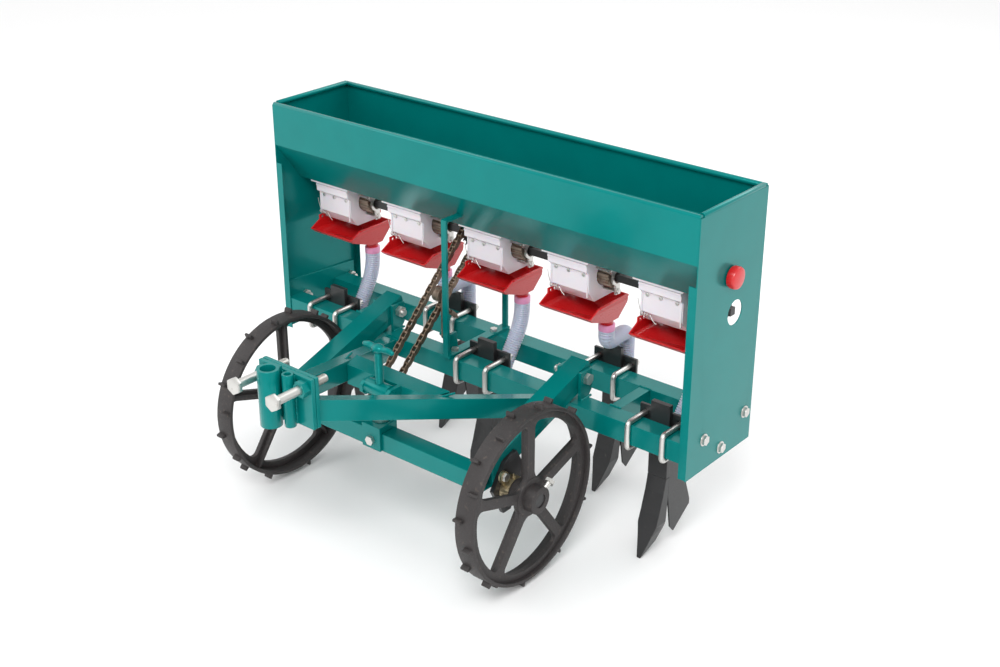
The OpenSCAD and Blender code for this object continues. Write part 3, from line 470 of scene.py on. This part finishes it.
@dataclass
class CadFinish:
    """Rounds and paints the CAD nodes that stay in sight."""

    fine: float = 0.35 * MM
    plain: float = 0.7 * MM
    heavy: float = 1.1 * MM
    heavy_nodes: tuple[str, ...] = (
        "front_crossbar", "rear_crossbar", "drawbar_arms", "drawbar_cross_tube", "lower_bar",
        "wheel_arms", "cross_ties", "hitch_rear_plate", "hitch_front_plate", "opener_shanks",
        "opener_points",
    )
    fine_nodes: tuple[str, ...] = (
        "u_bolts", "hopper_body", "left_end_plate", "right_end_plate", "meter_retainers",
    )

    def build(self) -> None:
        """Paints every node by its slot and rounds its edges."""
        slots = {slot.value: slot for slot in Slot}
        for part in frame["record"]["subparts"]:
            node = frame["nodes"][part["node"]]
            if node.hide_render:
                continue
            slot = slots[part["material_slot"]]
            node.data.materials.clear()
            node.data.materials.append(MATERIALS[slot])
            weld = node.modifiers.new("weld", "WELD")
            weld.merge_threshold = 0.01 * MM
            if part["node"] in self.heavy_nodes:
                width = self.heavy
            else:
                width = self.fine if part["node"] in self.fine_nodes else self.plain
            bevel = node.modifiers.new("round", "BEVEL")
            bevel.width = width
            bevel.segments = 2
            bevel.limit_method = "ANGLE"
            bevel.angle_limit = math.radians(32)
            bevel.use_clamp_overlap = True
            bevel.harden_normals = True
        LOG.info("CAD nodes painted")


@dataclass
class Chain:
    """Roller chain with real links round both sprockets."""

    pitch: float = 12.7 * MM
    axle_teeth: int = 11
    feed_teeth: int = 13
    roller: float = 3.9 * MM
    plate_half: float = 5.0 * MM
    inner_half: float = 3.4 * MM
    outer_half: float = 4.9 * MM
    plate: float = 1.1 * MM

    def radius(self, teeth: int) -> float:
        """Returns a sprocket's pitch radius."""
        return self.pitch / (2 * math.sin(math.pi / teeth))

    def loop(self, axle: Vector, feed: Vector) -> list[Vector]:
        """Returns the chain's centre line as closely spaced points in Y and Z."""
        low_r, high_r = self.radius(self.axle_teeth), self.radius(self.feed_teeth)
        run = feed - axle
        lean = math.atan2(run.z, run.y)
        tilt = math.asin((high_r - low_r) / math.hypot(run.y, run.z))
        rear, front = lean - math.pi / 2 - tilt, lean + math.pi / 2 + tilt
        points = []
        for centre, radius, start, end in (
            (axle, low_r, front, rear + 2 * math.pi), (feed, high_r, rear, front),
        ):
            for step in range(65):
                angle = start + (end - start) * step / 64
                points.append(centre + radius * Vector((0, math.cos(angle), math.sin(angle))))
        return points + points[:1]

    def joints(self, loop: list[Vector]) -> list[Vector]:
        """Returns evenly spaced points along the loop, an even number of them."""
        count = 2 * round(length_of(loop) / self.pitch / 2)
        return evenly(loop, count)[:-1]

    def link(self, half: float, with_rollers: bool) -> bpy.types.Object:
        """Makes a link along +Y from the origin, its plates at half to each side."""
        pieces = []
        for side in both_sides():
            low = side * half - self.plate / 2
            outline = []
            for end, start in ((0.0, 90), (self.pitch, -90)):
                for k in range(9):
                    angle = math.radians(start + 22.5 * k)
                    along = end + self.plate_half * math.cos(angle)
                    outline.append((along, self.plate_half * math.sin(angle)))
            pieces.append(Workshop.drum(outline, low, low + self.plate))
        for y in (0.0, self.pitch):
            if with_rollers:
                pieces.append(Workshop.rod((0, y, 0), self.roller, 2 * half, Axis.X, sides=14))
            else:
                length = 2 * half + 2.6 * self.plate
                pieces.append(Workshop.rod((0, y, 0), self.roller * 0.45, length, Axis.X, sides=10))
        return Workshop.join(pieces)

    def build(self, layout: Layout) -> None:
        """Places the links round both sprockets."""
        x = layout.feed.x
        axle = Vector((x, layout.axle.y, layout.axle.z))
        joints = self.joints(self.loop(axle, layout.feed))
        kinds = (self.link(self.inner_half, True), self.link(self.outer_half, False))
        links = []
        for number, (start, end) in enumerate(zip(joints, joints[1:] + joints[:1])):
            step = end - start
            turn = Matrix.Rotation(math.atan2(step.z, step.y), 4, "X")
            stretch = Matrix.Scale(step.length / self.pitch, 4, (0, 1, 0))
            links.append(Workshop.copy(kinds[number % 2], Matrix.Translation(start) @ turn @ stretch))
        for kind in kinds:
            bpy.data.objects.remove(kind)
        chain = Workshop.finish(Workshop.join(links), "chain_links", Slot.CHAIN, "", "drive_chain")
        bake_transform(chain)


@dataclass
class Sprockets:
    """Toothed rings on both sprockets' discs."""

    chain: Chain
    width: float = 5.0 * MM

    def teeth(self, centre: Vector, count: int, name: str, body: str, phase: float) -> None:
        """Adds teeth round one sprocket."""
        pitch_r = self.chain.radius(count)
        root = pitch_r - 4.6 * MM
        pieces = []
        for number in range(count):
            tooth = Workshop.rod((0, root + 3.0 * MM, 0), 3.6 * MM, 7.0 * MM, Axis.Y,
                                 sides=4, taper=0.35)
            Workshop.pick(tooth)
            tooth.scale = (self.width / (7.2 * MM), 1, 1)
            Workshop.settle(tooth)
            turn = Matrix.Rotation(2 * math.pi * number / count + phase, 4, "X")
            tooth.data.transform(Matrix.Translation(centre) @ turn)
            pieces.append(tooth)
        Workshop.finish(Workshop.join(pieces), name, Slot.CASTING, body)

    def build(self, layout: Layout) -> None:
        """Adds the teeth of both sprockets."""
        axle = Vector((layout.feed.x, layout.axle.y, layout.axle.z))
        self.teeth(axle, self.chain.axle_teeth, "axle_sprocket_teeth", "wheel_axle", 0.15)
        self.teeth(layout.feed, self.chain.feed_teeth, "feed_sprocket_teeth", "feed_drive", 0.1)


@dataclass
class SeedTubes:
    """Corrugated tubes from the funnels to the boots, with pink collars."""

    outer: float = 15.4 * MM
    groove: float = 13.6 * MM
    wave: float = 4.6 * MM
    sides: int = 24

    def bend(self, start: Vector, end: Vector, reach: float) -> list[Vector]:
        """Returns an S-bend that leaves and arrives upright."""
        down = Vector((0, 0, -reach))
        points = []
        for step in range(41):
            t = step / 40
            u = 1 - t
            points.append(u**3 * start + 3 * u * u * t * (start + down)
                          + 3 * u * t * t * (end - down) + t**3 * end)
        return points

    def tube(self, route: list[Vector]) -> bpy.types.Object:
        """Makes one corrugated tube: a long cylinder whose rings are moved onto the route."""
        quarters = 4 * max(4, round(length_of(route) / self.wave))
        points = evenly(route, quarters)
        count = len(points)
        bpy.ops.mesh.primitive_grid_add(x_subdivisions=self.sides, y_subdivisions=count - 1, size=2)
        tube = bpy.context.object
        for vertex in tube.data.vertices:
            place = round((vertex.co.y + 1) / 2 * (count - 1))
            angle = math.pi * (vertex.co.x + 1)
            here = points[place]
            ahead = points[min(place + 1, count - 1)] - points[max(place - 1, 0)]
            side = Vector((1, 0, 0))
            across = ahead.normalized().cross(side).normalized()
            side = across.cross(ahead.normalized())
            radius = (self.outer, self.outer, self.groove, self.groove)[place % 4]
            vertex.co = here + radius * (math.cos(angle) * side + math.sin(angle) * across)
        tube = Workshop.modify(tube, "WELD", merge_threshold=0.05 * MM)
        return Workshop.modify(tube, "SOLIDIFY", thickness=0.9 * MM, offset=-1)

    def build(self, layout: Layout) -> None:
        """Makes all tubes, by row."""
        openings = frame["record"]["physics"]["openings"]
        boots = [opening["box_m"] for opening in openings if opening["name"].startswith("boot_")]
        top_z = layout.funnel_low + 18 * MM
        spigot_y = layout.funnel_back - 34 * MM
        end_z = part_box("seed_tubes")[0][2]
        over_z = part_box("opener_shanks")[1][2] - 4 * MM
        tubes, collars = [], []
        for number, (row, boot) in enumerate(zip(layout.rows, boots)):
            top = Vector((row + 30 * MM, spigot_y, top_z))
            start = top - Vector((0, 0, 20 * MM))
            foot = Vector(((boot[0][0] + boot[1][0]) / 2, boot[0][1] + 34 * MM, end_z + 1 * MM))
            if number % 2 == 0:
                route = [top] + self.bend(start, foot, 70 * MM)
            else:
                over = Vector((foot.x, foot.y, over_z))
                route = [top] + self.bend(start, over, 46 * MM) + [foot]
            tubes.append(self.tube(route))
            collar = top - Vector((0, 0, 6 * MM))
            collars.append(Workshop.rod(collar, self.outer + 0.3 * MM, 13 * MM, Axis.Z,
                                        round_by=1 * MM))
        Workshop.finish(Workshop.join(tubes), "corrugated_tubes", Slot.HOSE, "frame", "seed_tubes",
                        angle=60)
        collar = Workshop.finish(Workshop.join(collars), "tube_collars", Slot.HOSE, "frame")
        collar.data.materials[0] = PINK_COLLAR.material()


@dataclass
class Wheel:
    """Cast ground wheel: a band with lugs, a web with rounded windows, ribbed spokes and a hub."""

    node: str
    side: int
    band: float = 7 * MM
    lug: float = 9 * MM
    rim_width: float = 38 * MM
    spokes: int = 5
    lugs: int = 20
    phase: float = math.radians(-62)
    spoke_turn: float = math.radians(8)
    spoke_half: float = 9.5 * MM
    hub: float = 25 * MM
    hub_past: float = 15 * MM
    web_in: float = 11 * MM
    web: float = 9 * MM
    flange: float = 37 * MM
    bore: float = 12.6 * MM

    def window(self, number: int, inner: float, outer: float) -> bpy.types.Object:
        """Makes the cutter for the window between two spokes."""
        half = math.pi / self.spokes
        near = half - math.asin(self.spoke_half / inner)
        far = half - math.asin(self.spoke_half / outer)
        steps = 10
        polar = [(outer, -far + 2 * far * k / steps) for k in range(steps + 1)]
        polar += [(inner, near), (inner, -near)]
        points = [(r * math.cos(a), r * math.sin(a)) for r, a in polar]
        cutter = Workshop.drum(points, -1.0, 1.0)
        Workshop.modify(cutter, "BEVEL", width=15 * MM, segments=6, limit_method="ANGLE",
                        angle_limit=math.radians(40), use_clamp_overlap=True)
        turn = 2 * half * number + half + self.phase + self.spoke_turn
        cutter.data.transform(Matrix.Rotation(turn, 4, "X"))
        return cutter

    def build(self, layout: Layout) -> None:
        """Makes the wheel at its node's place."""
        low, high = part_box(self.node)
        centre = Vector((0, layout.axle.y, layout.axle.z))
        hub_out, hub_in = (high[0], low[0]) if self.side > 0 else (-low[0], -high[0])
        rim_out = hub_out - self.hub_past
        web_x = rim_out - self.web_in
        radius = round((high[2] - low[2]) / 2 - self.lug, 3)
        band = Workshop.rod((rim_out - self.rim_width / 2, 0, 0), radius, self.rim_width, Axis.X,
                            sides=120)
        bore = Workshop.rod((rim_out, 0, 0), radius - self.band, 0.2, Axis.X, sides=120)
        band = Workshop.soften(Workshop.cut(band, bore), 1.5 * MM)
        web = Workshop.rod((web_x, 0, 0), radius - self.band + 1 * MM, self.web, Axis.X, sides=120)
        for number in range(self.spokes):
            web = Workshop.cut(web, self.window(number, 38 * MM, radius - 20 * MM))
        pieces = [band, Workshop.soften(web, 2.5 * MM, 3)]
        for number in range(self.spokes):
            angle = 2 * math.pi * number / self.spokes + self.phase + self.spoke_turn
            turn = Matrix.Rotation(angle, 4, "X")
            rib = Workshop.block((rim_out - 27 * MM, 15 * MM, -3.2 * MM),
                                 (rim_out - 13 * MM, radius - 5 * MM, 3.2 * MM), 2 * MM)
            rib.data.transform(turn)
            pieces.append(rib)
        for number in range(self.lugs):
            turn = Matrix.Rotation(2 * math.pi * number / self.lugs + self.phase, 4, "X")
            start = rim_out - self.rim_width * (0.5 if number % 2 == 0 else 1.0)
            end = start + self.rim_width / 2
            lug = Workshop.block((start + 1 * MM, radius - 3 * MM, -4 * MM),
                                 (end - 1 * MM, radius + self.lug - 0.3 * MM, 4 * MM))
            for vertex in lug.data.vertices:
                if vertex.co.y > radius:
                    vertex.co.z *= 0.6
            Workshop.soften(lug, 1.2 * MM)
            lug.data.transform(turn)
            pieces.append(lug)
        hub = Workshop.rod(((hub_in + hub_out) / 2, 0, 0), self.hub, hub_out - hub_in, Axis.X, sides=48,
                           round_by=2 * MM)
        bore = Workshop.rod((hub_out, 0, 0), self.bore, 0.2, Axis.X, sides=40)
        pieces.append(Workshop.cut(hub, bore))
        flange = Workshop.rod((web_x, 0, 0), self.flange, 13 * MM, Axis.X, sides=48,
                              round_by=4 * MM)
        pieces.append(Workshop.cut(flange, Workshop.rod((0, 0, 0), 20 * MM, 2, Axis.X)))
        wheel = Workshop.join(pieces)
        if self.side < 0:
            wheel.data.transform(Matrix.Scale(-1, 4, (1, 0, 0)))
            Workshop.pick(wheel)
            bpy.ops.object.mode_set(mode="EDIT")
            bpy.ops.mesh.select_all(action="SELECT")
            bpy.ops.mesh.flip_normals()
            bpy.ops.object.mode_set(mode="OBJECT")
        wheel.data.transform(Matrix.Translation(centre))
        Workshop.finish(wheel, f"cast_{self.node}", Slot.CASTING, "wheel_axle", self.node)


@dataclass
class DepthScrew:
    """Threaded screw with its cast wing handle."""

    thread: float = 7.9 * MM
    core: float = 6.9 * MM
    pitch: float = 3.0 * MM
    lobes: tuple[tuple[float, Point, float], ...] = (
        (13, (12, 6, 6.0), 0.5), (22, (12, 5.5, 6.5), 1.5), (30, (8, 5, 5.5), 0.5),
    )

    def build(self) -> None:
        """Makes the screw in the place of its node."""
        low, high = (Vector(c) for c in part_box("adjuster_screw"))
        centre = middle("adjuster_screw")
        top = high.z
        boss_z = top - 9 * MM
        boss_at = Vector((centre.x, centre.y, boss_z))
        pieces = [Workshop.bar((centre.x, centre.y, low.z), boss_at, self.core, 24)]
        start = low.z + 18 * MM
        while start < boss_z - 10 * MM:
            pieces.append(Workshop.rod((centre.x, centre.y, start), self.thread, 1.4 * MM, Axis.Z,
                                       sides=24, taper=0.9))
            start += self.pitch
        screw = Workshop.join(pieces)
        bpy.ops.mesh.primitive_uv_sphere_add(segments=24, ring_count=16, radius=1, location=boss_at)
        boss = bpy.context.object
        boss.scale = (13 * MM, 11 * MM, 9 * MM)
        parts = [Workshop.settle(boss)]
        for side in both_sides():
            for reach, size, lift in self.lobes:
                place = (centre.x + side * reach * MM, centre.y, boss_z + lift * MM)
                bpy.ops.mesh.primitive_uv_sphere_add(segments=20, ring_count=12, radius=1,
                                                     location=place)
                wing = bpy.context.object
                wing.scale = tuple(value * MM for value in size)
                parts.append(Workshop.settle(wing))
        handle = Workshop.join(parts)
        Workshop.modify(handle, "REMESH", mode="VOXEL", voxel_size=1.1 * MM)
        Workshop.modify(handle, "SMOOTH", iterations=6, factor=0.5)
        Workshop.finish(Workshop.join([handle, screw]), "wing_screw", Slot.TEAL, "depth_screw",
                        "adjuster_screw")


@dataclass
class HitchBolts:
    """Long hitch bolts with chamfered heads, washers and threads."""

    radius: float = 8 * MM
    pitch: float = 2.0 * MM

    def build(self) -> None:
        """Makes both bolts."""
        low, high = (Vector(c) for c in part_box("hitch_bolts"))
        z = middle("hitch_bolts").z
        head = 15.2 * MM
        offset = high.x - head
        pieces = []
        for side in both_sides():
            x = side * offset
            pieces.append(Workshop.hexagon((x, low.y + 5.2 * MM, z), head, 10.4 * MM, Axis.Y))
            pieces.append(Workshop.rod((x, low.y + 1.0 * MM, z), 11 * MM, 1.6 * MM, Axis.Y,
                                       round_by=0.5 * MM))
            plain_end = (x, high.y - 30 * MM, z)
            pieces.append(Workshop.bar((x, low.y + 9 * MM, z), plain_end, self.radius, 28))
            core_start = (x, high.y - 31 * MM, z)
            pieces.append(Workshop.bar(core_start, (x, high.y, z), self.radius * 0.88, 24))
            y = high.y - 29 * MM
            while y < high.y - 1 * MM:
                pieces.append(Workshop.rod((x, y, z), self.radius * 0.98, 1.0 * MM, Axis.Y, sides=24,
                                           taper=0.93))
                y += self.pitch
        Workshop.finish(Workshop.join(pieces), "hitch_bolts_threaded", Slot.ZINC, "frame",
                        "hitch_bolts")


@dataclass
class HexBolts:
    """Chamfered heads and washers over the CAD bolts' plain heads."""

    def build(self) -> None:
        """Adds washers and heads at the end plates' bolts."""
        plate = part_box("right_end_plate")
        pieces = []
        spots = self.spots()
        for side in both_sides():
            for y, z in spots:
                x = side * plate[1][0]
                pieces.append(Workshop.rod((x + side * 0.8 * MM, y, z), 11.5 * MM, 1.6 * MM, Axis.X,
                                           round_by=0.4 * MM))
                pieces.append(Workshop.rod((x + side * 5.9 * MM, y, z), 6.4 * MM, 2.0 * MM, Axis.X,
                                           round_by=0.5 * MM))
        Workshop.finish(Workshop.join(pieces), "end_bolt_washers", Slot.ZINC, "frame")

    @staticmethod
    def spots() -> list[tuple[float, float]]:
        """Returns the end plates' bolt places in Y and Z."""
        low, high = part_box("end_plate_bolts")
        edge = 9.5 * MM
        bar_z = middle("front_crossbar").z
        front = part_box("rear_crossbar")
        return [
            (low[1] + edge * 0.87, high[2] - edge), (front[1][1] + 10 * MM, high[2] - edge),
            (middle("end_plate_nuts").y - 9 * MM, bar_z - 28 * MM),
        ]


@dataclass
class Meters:
    """Ribs, nuts, screws and springs on the seed meters."""

    left: float = -62 * MM
    right: float = 26 * MM
    front_in: float = 16 * MM
    posts: float = 28 * MM
    post_turns: tuple[int, ...] = (40, 140, 270)
    nut_out: float = 32.6 * MM
    screw_drop: float = 33 * MM
    coil: float = 3.2 * MM
    coil_step: float = 0.32 * MM

    def casing(self, row: float, layout: Layout) -> list[bpy.types.Object]:
        """Returns the ribs and the top strip of one housing."""
        y0, top = layout.meter_low.y, layout.meter_high.z
        front = y0 + self.front_in
        pieces = []
        for x in (row + self.left + 3 * MM, row + self.right - 3 * MM):
            pieces.append(Workshop.block((x - 1.6 * MM, front - 2 * MM, top - 76 * MM),
                                         (x + 1.6 * MM, front + 2 * MM, top - 28 * MM), 0.8 * MM))
        pieces.append(Workshop.block((row + self.left, y0 + 6 * MM, top - 14 * MM),
                                     (row + self.right, y0 + 10 * MM, top - 9 * MM), 1 * MM))
        return pieces

    def nuts(self, row: float, layout: Layout) -> list[bpy.types.Object]:
        """Returns the nuts on the retainer's posts."""
        pieces = []
        for turn in self.post_turns:
            angle = math.radians(turn)
            y = layout.feed.y + self.posts * math.cos(angle)
            z = layout.feed.z + self.posts * math.sin(angle)
            place = (row + self.right + self.nut_out, y, z)
            pieces.append(Workshop.hexagon(place, 5.6 * MM, 3.2 * MM, Axis.X))
        return pieces

    def screws(self, row: float, layout: Layout) -> list[bpy.types.Object]:
        """Returns the flange's screws and the slotted screws on the front."""
        y0, y1, top = layout.meter_low.y, layout.meter_high.y, layout.meter_high.z
        left, right, front = row + self.left, row + self.right, y0 + self.front_in
        pieces = []
        for x in (left - 3 * MM, right + 3 * MM):
            for y in (y0 + 12 * MM, y1 - 26 * MM):
                pieces.append(Workshop.rod((x, y, top - 5.4 * MM), 4.2 * MM, 2.6 * MM, Axis.Z, 20,
                                           0.8 * MM))
        z = top - self.screw_drop
        for x in (left + 14 * MM, left + 42 * MM, right - 12 * MM):
            head = Workshop.rod((x, front - 0.6 * MM, z), 3.6 * MM, 2.6 * MM, Axis.Y, 20, 0.7 * MM)
            slot = Workshop.block((x - 3 * MM, front - 3.4 * MM, z - 0.5 * MM),
                                  (x + 3 * MM, front - 1 * MM, z + 0.5 * MM))
            pieces.append(Workshop.cut(head, slot))
        return pieces

    def spring(self, row: float, layout: Layout) -> bpy.types.Object:
        """Returns the wire spring on the front."""
        front = layout.meter_low.y + self.front_in
        base = Vector((row + self.left + 2 * MM, front - 3 * MM, layout.meter_high.z - 70 * MM))
        coil = []
        for step in range(61):
            angle = math.radians(step * 24)
            round_x = Vector((step * self.coil_step, self.coil * math.cos(angle),
                              self.coil * math.sin(angle)))
            coil.append(base + round_x)
        tail = [base + Vector((-7 * MM, 2 * MM, 26 * MM)), base + Vector((-3 * MM, 1 * MM, 10 * MM))]
        end = coil[-1]
        lead = [end + Vector((6 * MM, -2 * MM, -9 * MM)), end + Vector((14 * MM, -2 * MM, -14 * MM))]
        return Workshop.sweep(tail + coil + lead, 0.7 * MM, 2)

    def build(self, layout: Layout) -> None:
        """Adds the small pieces of every meter."""
        white, steel = [], []
        for row in layout.rows:
            white += self.casing(row, layout)
            steel += self.nuts(row, layout) + self.screws(row, layout) + [self.spring(row, layout)]
        Workshop.finish(Workshop.join(white), "meter_ribs", Slot.WHITE, "frame")
        Workshop.finish(Workshop.join(steel), "meter_fasteners", Slot.ZINC, "frame", angle=50)


@dataclass
class Funnels:
    """Ears, rims and lip ribs on the funnels."""

    rim_left: float = -66 * MM
    rim_width: float = 118.6 * MM
    ear_in: float = 34 * MM
    ribs: tuple[int, ...] = (20, 44, 68)

    def build(self, layout: Layout) -> None:
        """Adds each funnel's ear, lip and ribs."""
        low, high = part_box("seed_funnels")
        pieces = []
        front, top = low[1], high[2]
        for row in layout.rows:
            x, y = row + self.rim_left, front + self.ear_in
            ear = Workshop.block((x - 0.2 * MM, y - 9 * MM, top - 6 * MM),
                                 (x + 2.4 * MM, y + 9 * MM, top + 9 * MM), 1 * MM)
            hole = Workshop.rod((x, y, top + 2.5 * MM), 3 * MM, 0.02, Axis.X, 20)
            pieces.append(Workshop.cut(ear, hole))
            for side in (x - 0.6 * MM, x + self.rim_width):
                pieces.append(Workshop.bar((side, front + 28 * MM, top - 1.6 * MM),
                                           (side, high[1] - 1 * MM, top - 1.6 * MM), 1.6 * MM, 12))
            for offset in self.ribs:
                rib = x + offset * MM
                pieces.append(Workshop.bar((rib, front + 2 * MM, top - 12.5 * MM),
                                           (rib, front + 9 * MM, top - 21 * MM), 1.2 * MM, 10))
        Workshop.finish(Workshop.join(pieces), "funnel_ears", Slot.RED, "frame")


@dataclass
class Tensioner:
    """Spring rod with its coil and the pivot's collar beside the tensioner arm."""

    coils: int = 14

    def build(self) -> None:
        """Makes the rod and the spring."""
        low, high = (Vector(c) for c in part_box("tensioner_arm"))
        x = high.x + 5 * MM
        top = Vector((x, (low.y + high.y) / 2 + 2 * MM, low.z + 62 * MM))
        foot = top + Vector((0, 26 * MM, -24 * MM))
        rod = Workshop.bar(top, foot, 2.4 * MM, 16)
        pin = Workshop.rod((high.x + 2 * MM, top.y, top.z), 4 * MM, 8 * MM, Axis.X, 20, 0.6 * MM)
        along = (foot - top).normalized()
        side = along.cross(Vector((1, 0, 0))).normalized()
        route = []
        for step in range(self.coils * 12 + 1):
            angle = math.radians(30 * step)
            route.append(top + along * (8 * MM + 1.45 * MM * step / 12)
                         + 4.4 * MM * (math.cos(angle) * side + math.sin(angle) * Vector((1, 0, 0))))
        coil = Workshop.sweep(route, 0.65 * MM, 2)
        Workshop.finish(Workshop.join([rod, pin, coil]), "tensioner_spring", Slot.BROWN, "tensioner",
                        angle=50)


@dataclass
class Welds:
    """Weld beads along the frame's and the hitch's joints."""

    size: float = 2.2 * MM

    def lines(self) -> list[tuple[Point, Point]]:
        """Returns the beads' ends, joint by joint."""
        return self.drawbar() + self.hitch() + self.ties()

    @staticmethod
    def drawbar() -> list[tuple[Point, Point]]:
        """Returns the beads round the drawbar's feet, the pivot ears and the cross tube."""
        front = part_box("front_crossbar")
        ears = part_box("pivot_ears")
        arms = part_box("drawbar_arms")
        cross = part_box("drawbar_cross_tube")
        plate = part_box("hitch_rear_plate")
        face, top = front[0][1], front[1][2]
        back, foot = plate[1][1], plate[0][2]
        found = []
        for side in both_sides():
            outer = side * arms[1][0]
            inner = side * (arms[1][0] - 28 * MM)
            found.append(((outer, face, top - 6 * MM), (outer, face, front[0][2] + 2 * MM)))
            found.append(((inner, face, top - 5 * MM), (outer, face, top - 5 * MM)))
            for inset in (6, 0, 54, 48):
                x = side * (ears[1][0] - inset * MM)
                found.append(((x, ears[0][1] + 3 * MM, top + 0.4 * MM),
                              (x, ears[1][1] - 3 * MM, top + 0.4 * MM)))
            found.append(((side * (cross[1][0] - 3 * MM), cross[0][1] + 1 * MM, cross[1][2]),
                          (side * (cross[1][0] + 11 * MM), cross[1][1] - 1 * MM, cross[1][2])))
            found.append(((side * 20 * MM, back, foot + 4 * MM), (side * 44 * MM, back, foot + 4 * MM)))
            edge = side * 47 * MM
            found.append(((edge, back, foot + 6 * MM), (edge, back, foot + 42 * MM)))
        return found

    @staticmethod
    def hitch() -> list[tuple[Point, Point]]:
        """Returns the beads along the hitch socket and over the front plate."""
        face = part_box("hitch_front_plate")
        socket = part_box("hitch_socket")
        near, far = face[0][1] - 0.4 * MM, face[1][1] + 0.5 * MM
        found = []
        for x in (-22 * MM, -4 * MM, 12 * MM, 24 * MM):
            found.append(((x, near, socket[0][2] + 6 * MM), (x, near, face[1][2] - 4 * MM)))
        over = face[1][2] - 1.5 * MM
        return found + [((-45 * MM, far, over), (45 * MM, far, over))]

    @staticmethod
    def ties() -> list[tuple[Point, Point]]:
        """Returns the beads at the cross ties' ends."""
        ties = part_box("cross_ties")
        z = ties[1][2] + 0.3 * MM
        found = []
        for side in both_sides():
            for y in (ties[0][1], ties[1][1]):
                found.append(((side * (ties[1][0] - 22 * MM), y, z), (side * ties[1][0], y, z)))
        return found

    def build(self) -> None:
        """Lays every bead."""
        beads = [Workshop.weld(start, end, self.size) for start, end in self.lines()]
        Workshop.finish(Workshop.join(beads), "weld_beads", Slot.TEAL, "frame", angle=80)


@dataclass
class Bearings:
    """Grease nipples, inner rings and seals on the axle's flange bearings."""

    def build(self, layout: Layout) -> None:
        """Adds the small parts to both bearings."""
        low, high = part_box("axle_bearings")
        pieces = []
        for side in both_sides():
            face = side * high[0]
            centre = Vector((face, layout.axle.y, layout.axle.z))
            for inset, radius, wire in ((1, 21, 1.4), (0.6, 15, 1.2)):
                place = centre - Vector((side * inset * MM, 0, 0))
                pieces.append(Workshop.ring(place, radius * MM, wire * MM, Axis.X))
            nipple = centre + Vector((-side * 7 * MM, 0, 25 * MM))
            pieces.append(Workshop.hexagon(nipple, 4 * MM, 5 * MM, Axis.Z))
            pieces.append(Workshop.rod(nipple + Vector((0, 0, 4 * MM)), 2 * MM, 5 * MM, Axis.Z, 16,
                                       0.5 * MM, 0.7))
        Workshop.finish(Workshop.join(pieces), "bearing_details", Slot.YELLOW, "wheel_frame")


@dataclass
class AgitatorKnob:
    """Round red knob with a fluted edge."""

    flutes: int = 14

    def build(self) -> None:
        """Makes the knob in the place of its node."""
        low, high = (Vector(c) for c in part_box("agitator_knob"))
        centre = middle("agitator_knob")
        radius = (high.z - low.z) / 2
        knob = Workshop.rod(centre, radius, high.x - low.x, Axis.X, sides=64, round_by=4 * MM)
        for number in range(self.flutes):
            angle = 2 * math.pi * number / self.flutes
            place = centre + (radius + 2.9 * MM) * Vector((0, math.cos(angle), math.sin(angle)))
            knob = Workshop.cut(knob, Workshop.rod(place, 3.6 * MM, 0.1, Axis.X, 20))
        Workshop.finish(knob, "fluted_knob", Slot.RED, "agitator", "agitator_knob")


# ---- studio ----


@dataclass
class Studio:
    """Pale floor, soft lights and the camera."""

    eye: tuple[float, float, float] = (1.6468, -1.7505, 1.5003)
    gaze: tuple[float, float, float] = (-0.5773, 0.6964, -0.4262)
    lens: float = 52.89

    def floor(self) -> None:
        """Lays the floor."""
        bpy.ops.mesh.primitive_plane_add(size=80, location=(0, 0, -0.3 * MM))
        floor = bpy.context.object
        floor.name = "floor"
        material = bpy.data.materials.new("floor")
        material.use_nodes = True
        shader = material.node_tree.nodes["Principled BSDF"]
        shader.inputs["Base Color"].default_value = (0.90, 0.90, 0.90, 1)
        shader.inputs["Roughness"].default_value = 0.75
        floor.data.materials.append(material)

    def light(self, name: str, place: Point, size: float, power: float) -> None:
        """Adds a soft square light that faces the seeder."""
        bpy.ops.object.light_add(type="AREA", location=place)
        lamp = bpy.context.object
        lamp.name = name
        lamp.data.size = size
        lamp.data.energy = power
        lamp.rotation_euler = (Vector((0, 0, 0.3)) - Vector(place)).to_track_quat("-Z", "Y").to_euler()

    def build(self) -> None:
        """Sets the whole studio up."""
        self.floor()
        self.light("key", (1.4, -2.2, 3.0), 1.6, 75)
        self.light("fill", (-2.8, -1.6, 2.2), 2.2, 22)
        self.light("rim", (0.6, 2.8, 2.6), 2.0, 30)
        world = bpy.data.worlds.new("studio")
        world.use_nodes = True
        world.node_tree.nodes["Background"].inputs["Color"].default_value = (1, 1, 1, 1)
        world.node_tree.nodes["Background"].inputs["Strength"].default_value = 1.0
        scene = bpy.context.scene
        scene.world = world
        bpy.ops.object.camera_add(location=self.eye)
        camera = bpy.context.object
        camera.rotation_euler = Vector(self.gaze).to_track_quat("-Z", "Y").to_euler()
        camera.data.lens = self.lens
        camera.data.sensor_width = 36
        scene.camera = camera
        scene.view_settings.view_transform = "Standard"
        scene.view_settings.look = "None"


def main() -> None:
    layout = Layout()
    chain = Chain()
    chain.build(layout)
    Sprockets(chain).build(layout)
    SeedTubes().build(layout)
    Wheel("right_wheel", 1).build(layout)
    Wheel("left_wheel", -1).build(layout)
    DepthScrew().build()
    HitchBolts().build()
    HexBolts().build()
    Meters().build(layout)
    Funnels().build(layout)
    Tensioner().build()
    Welds().build()
    Bearings().build(layout)
    AgitatorKnob().build()
    CadFinish().build()
    Studio().build()


if __name__ == "__main__":
    main()
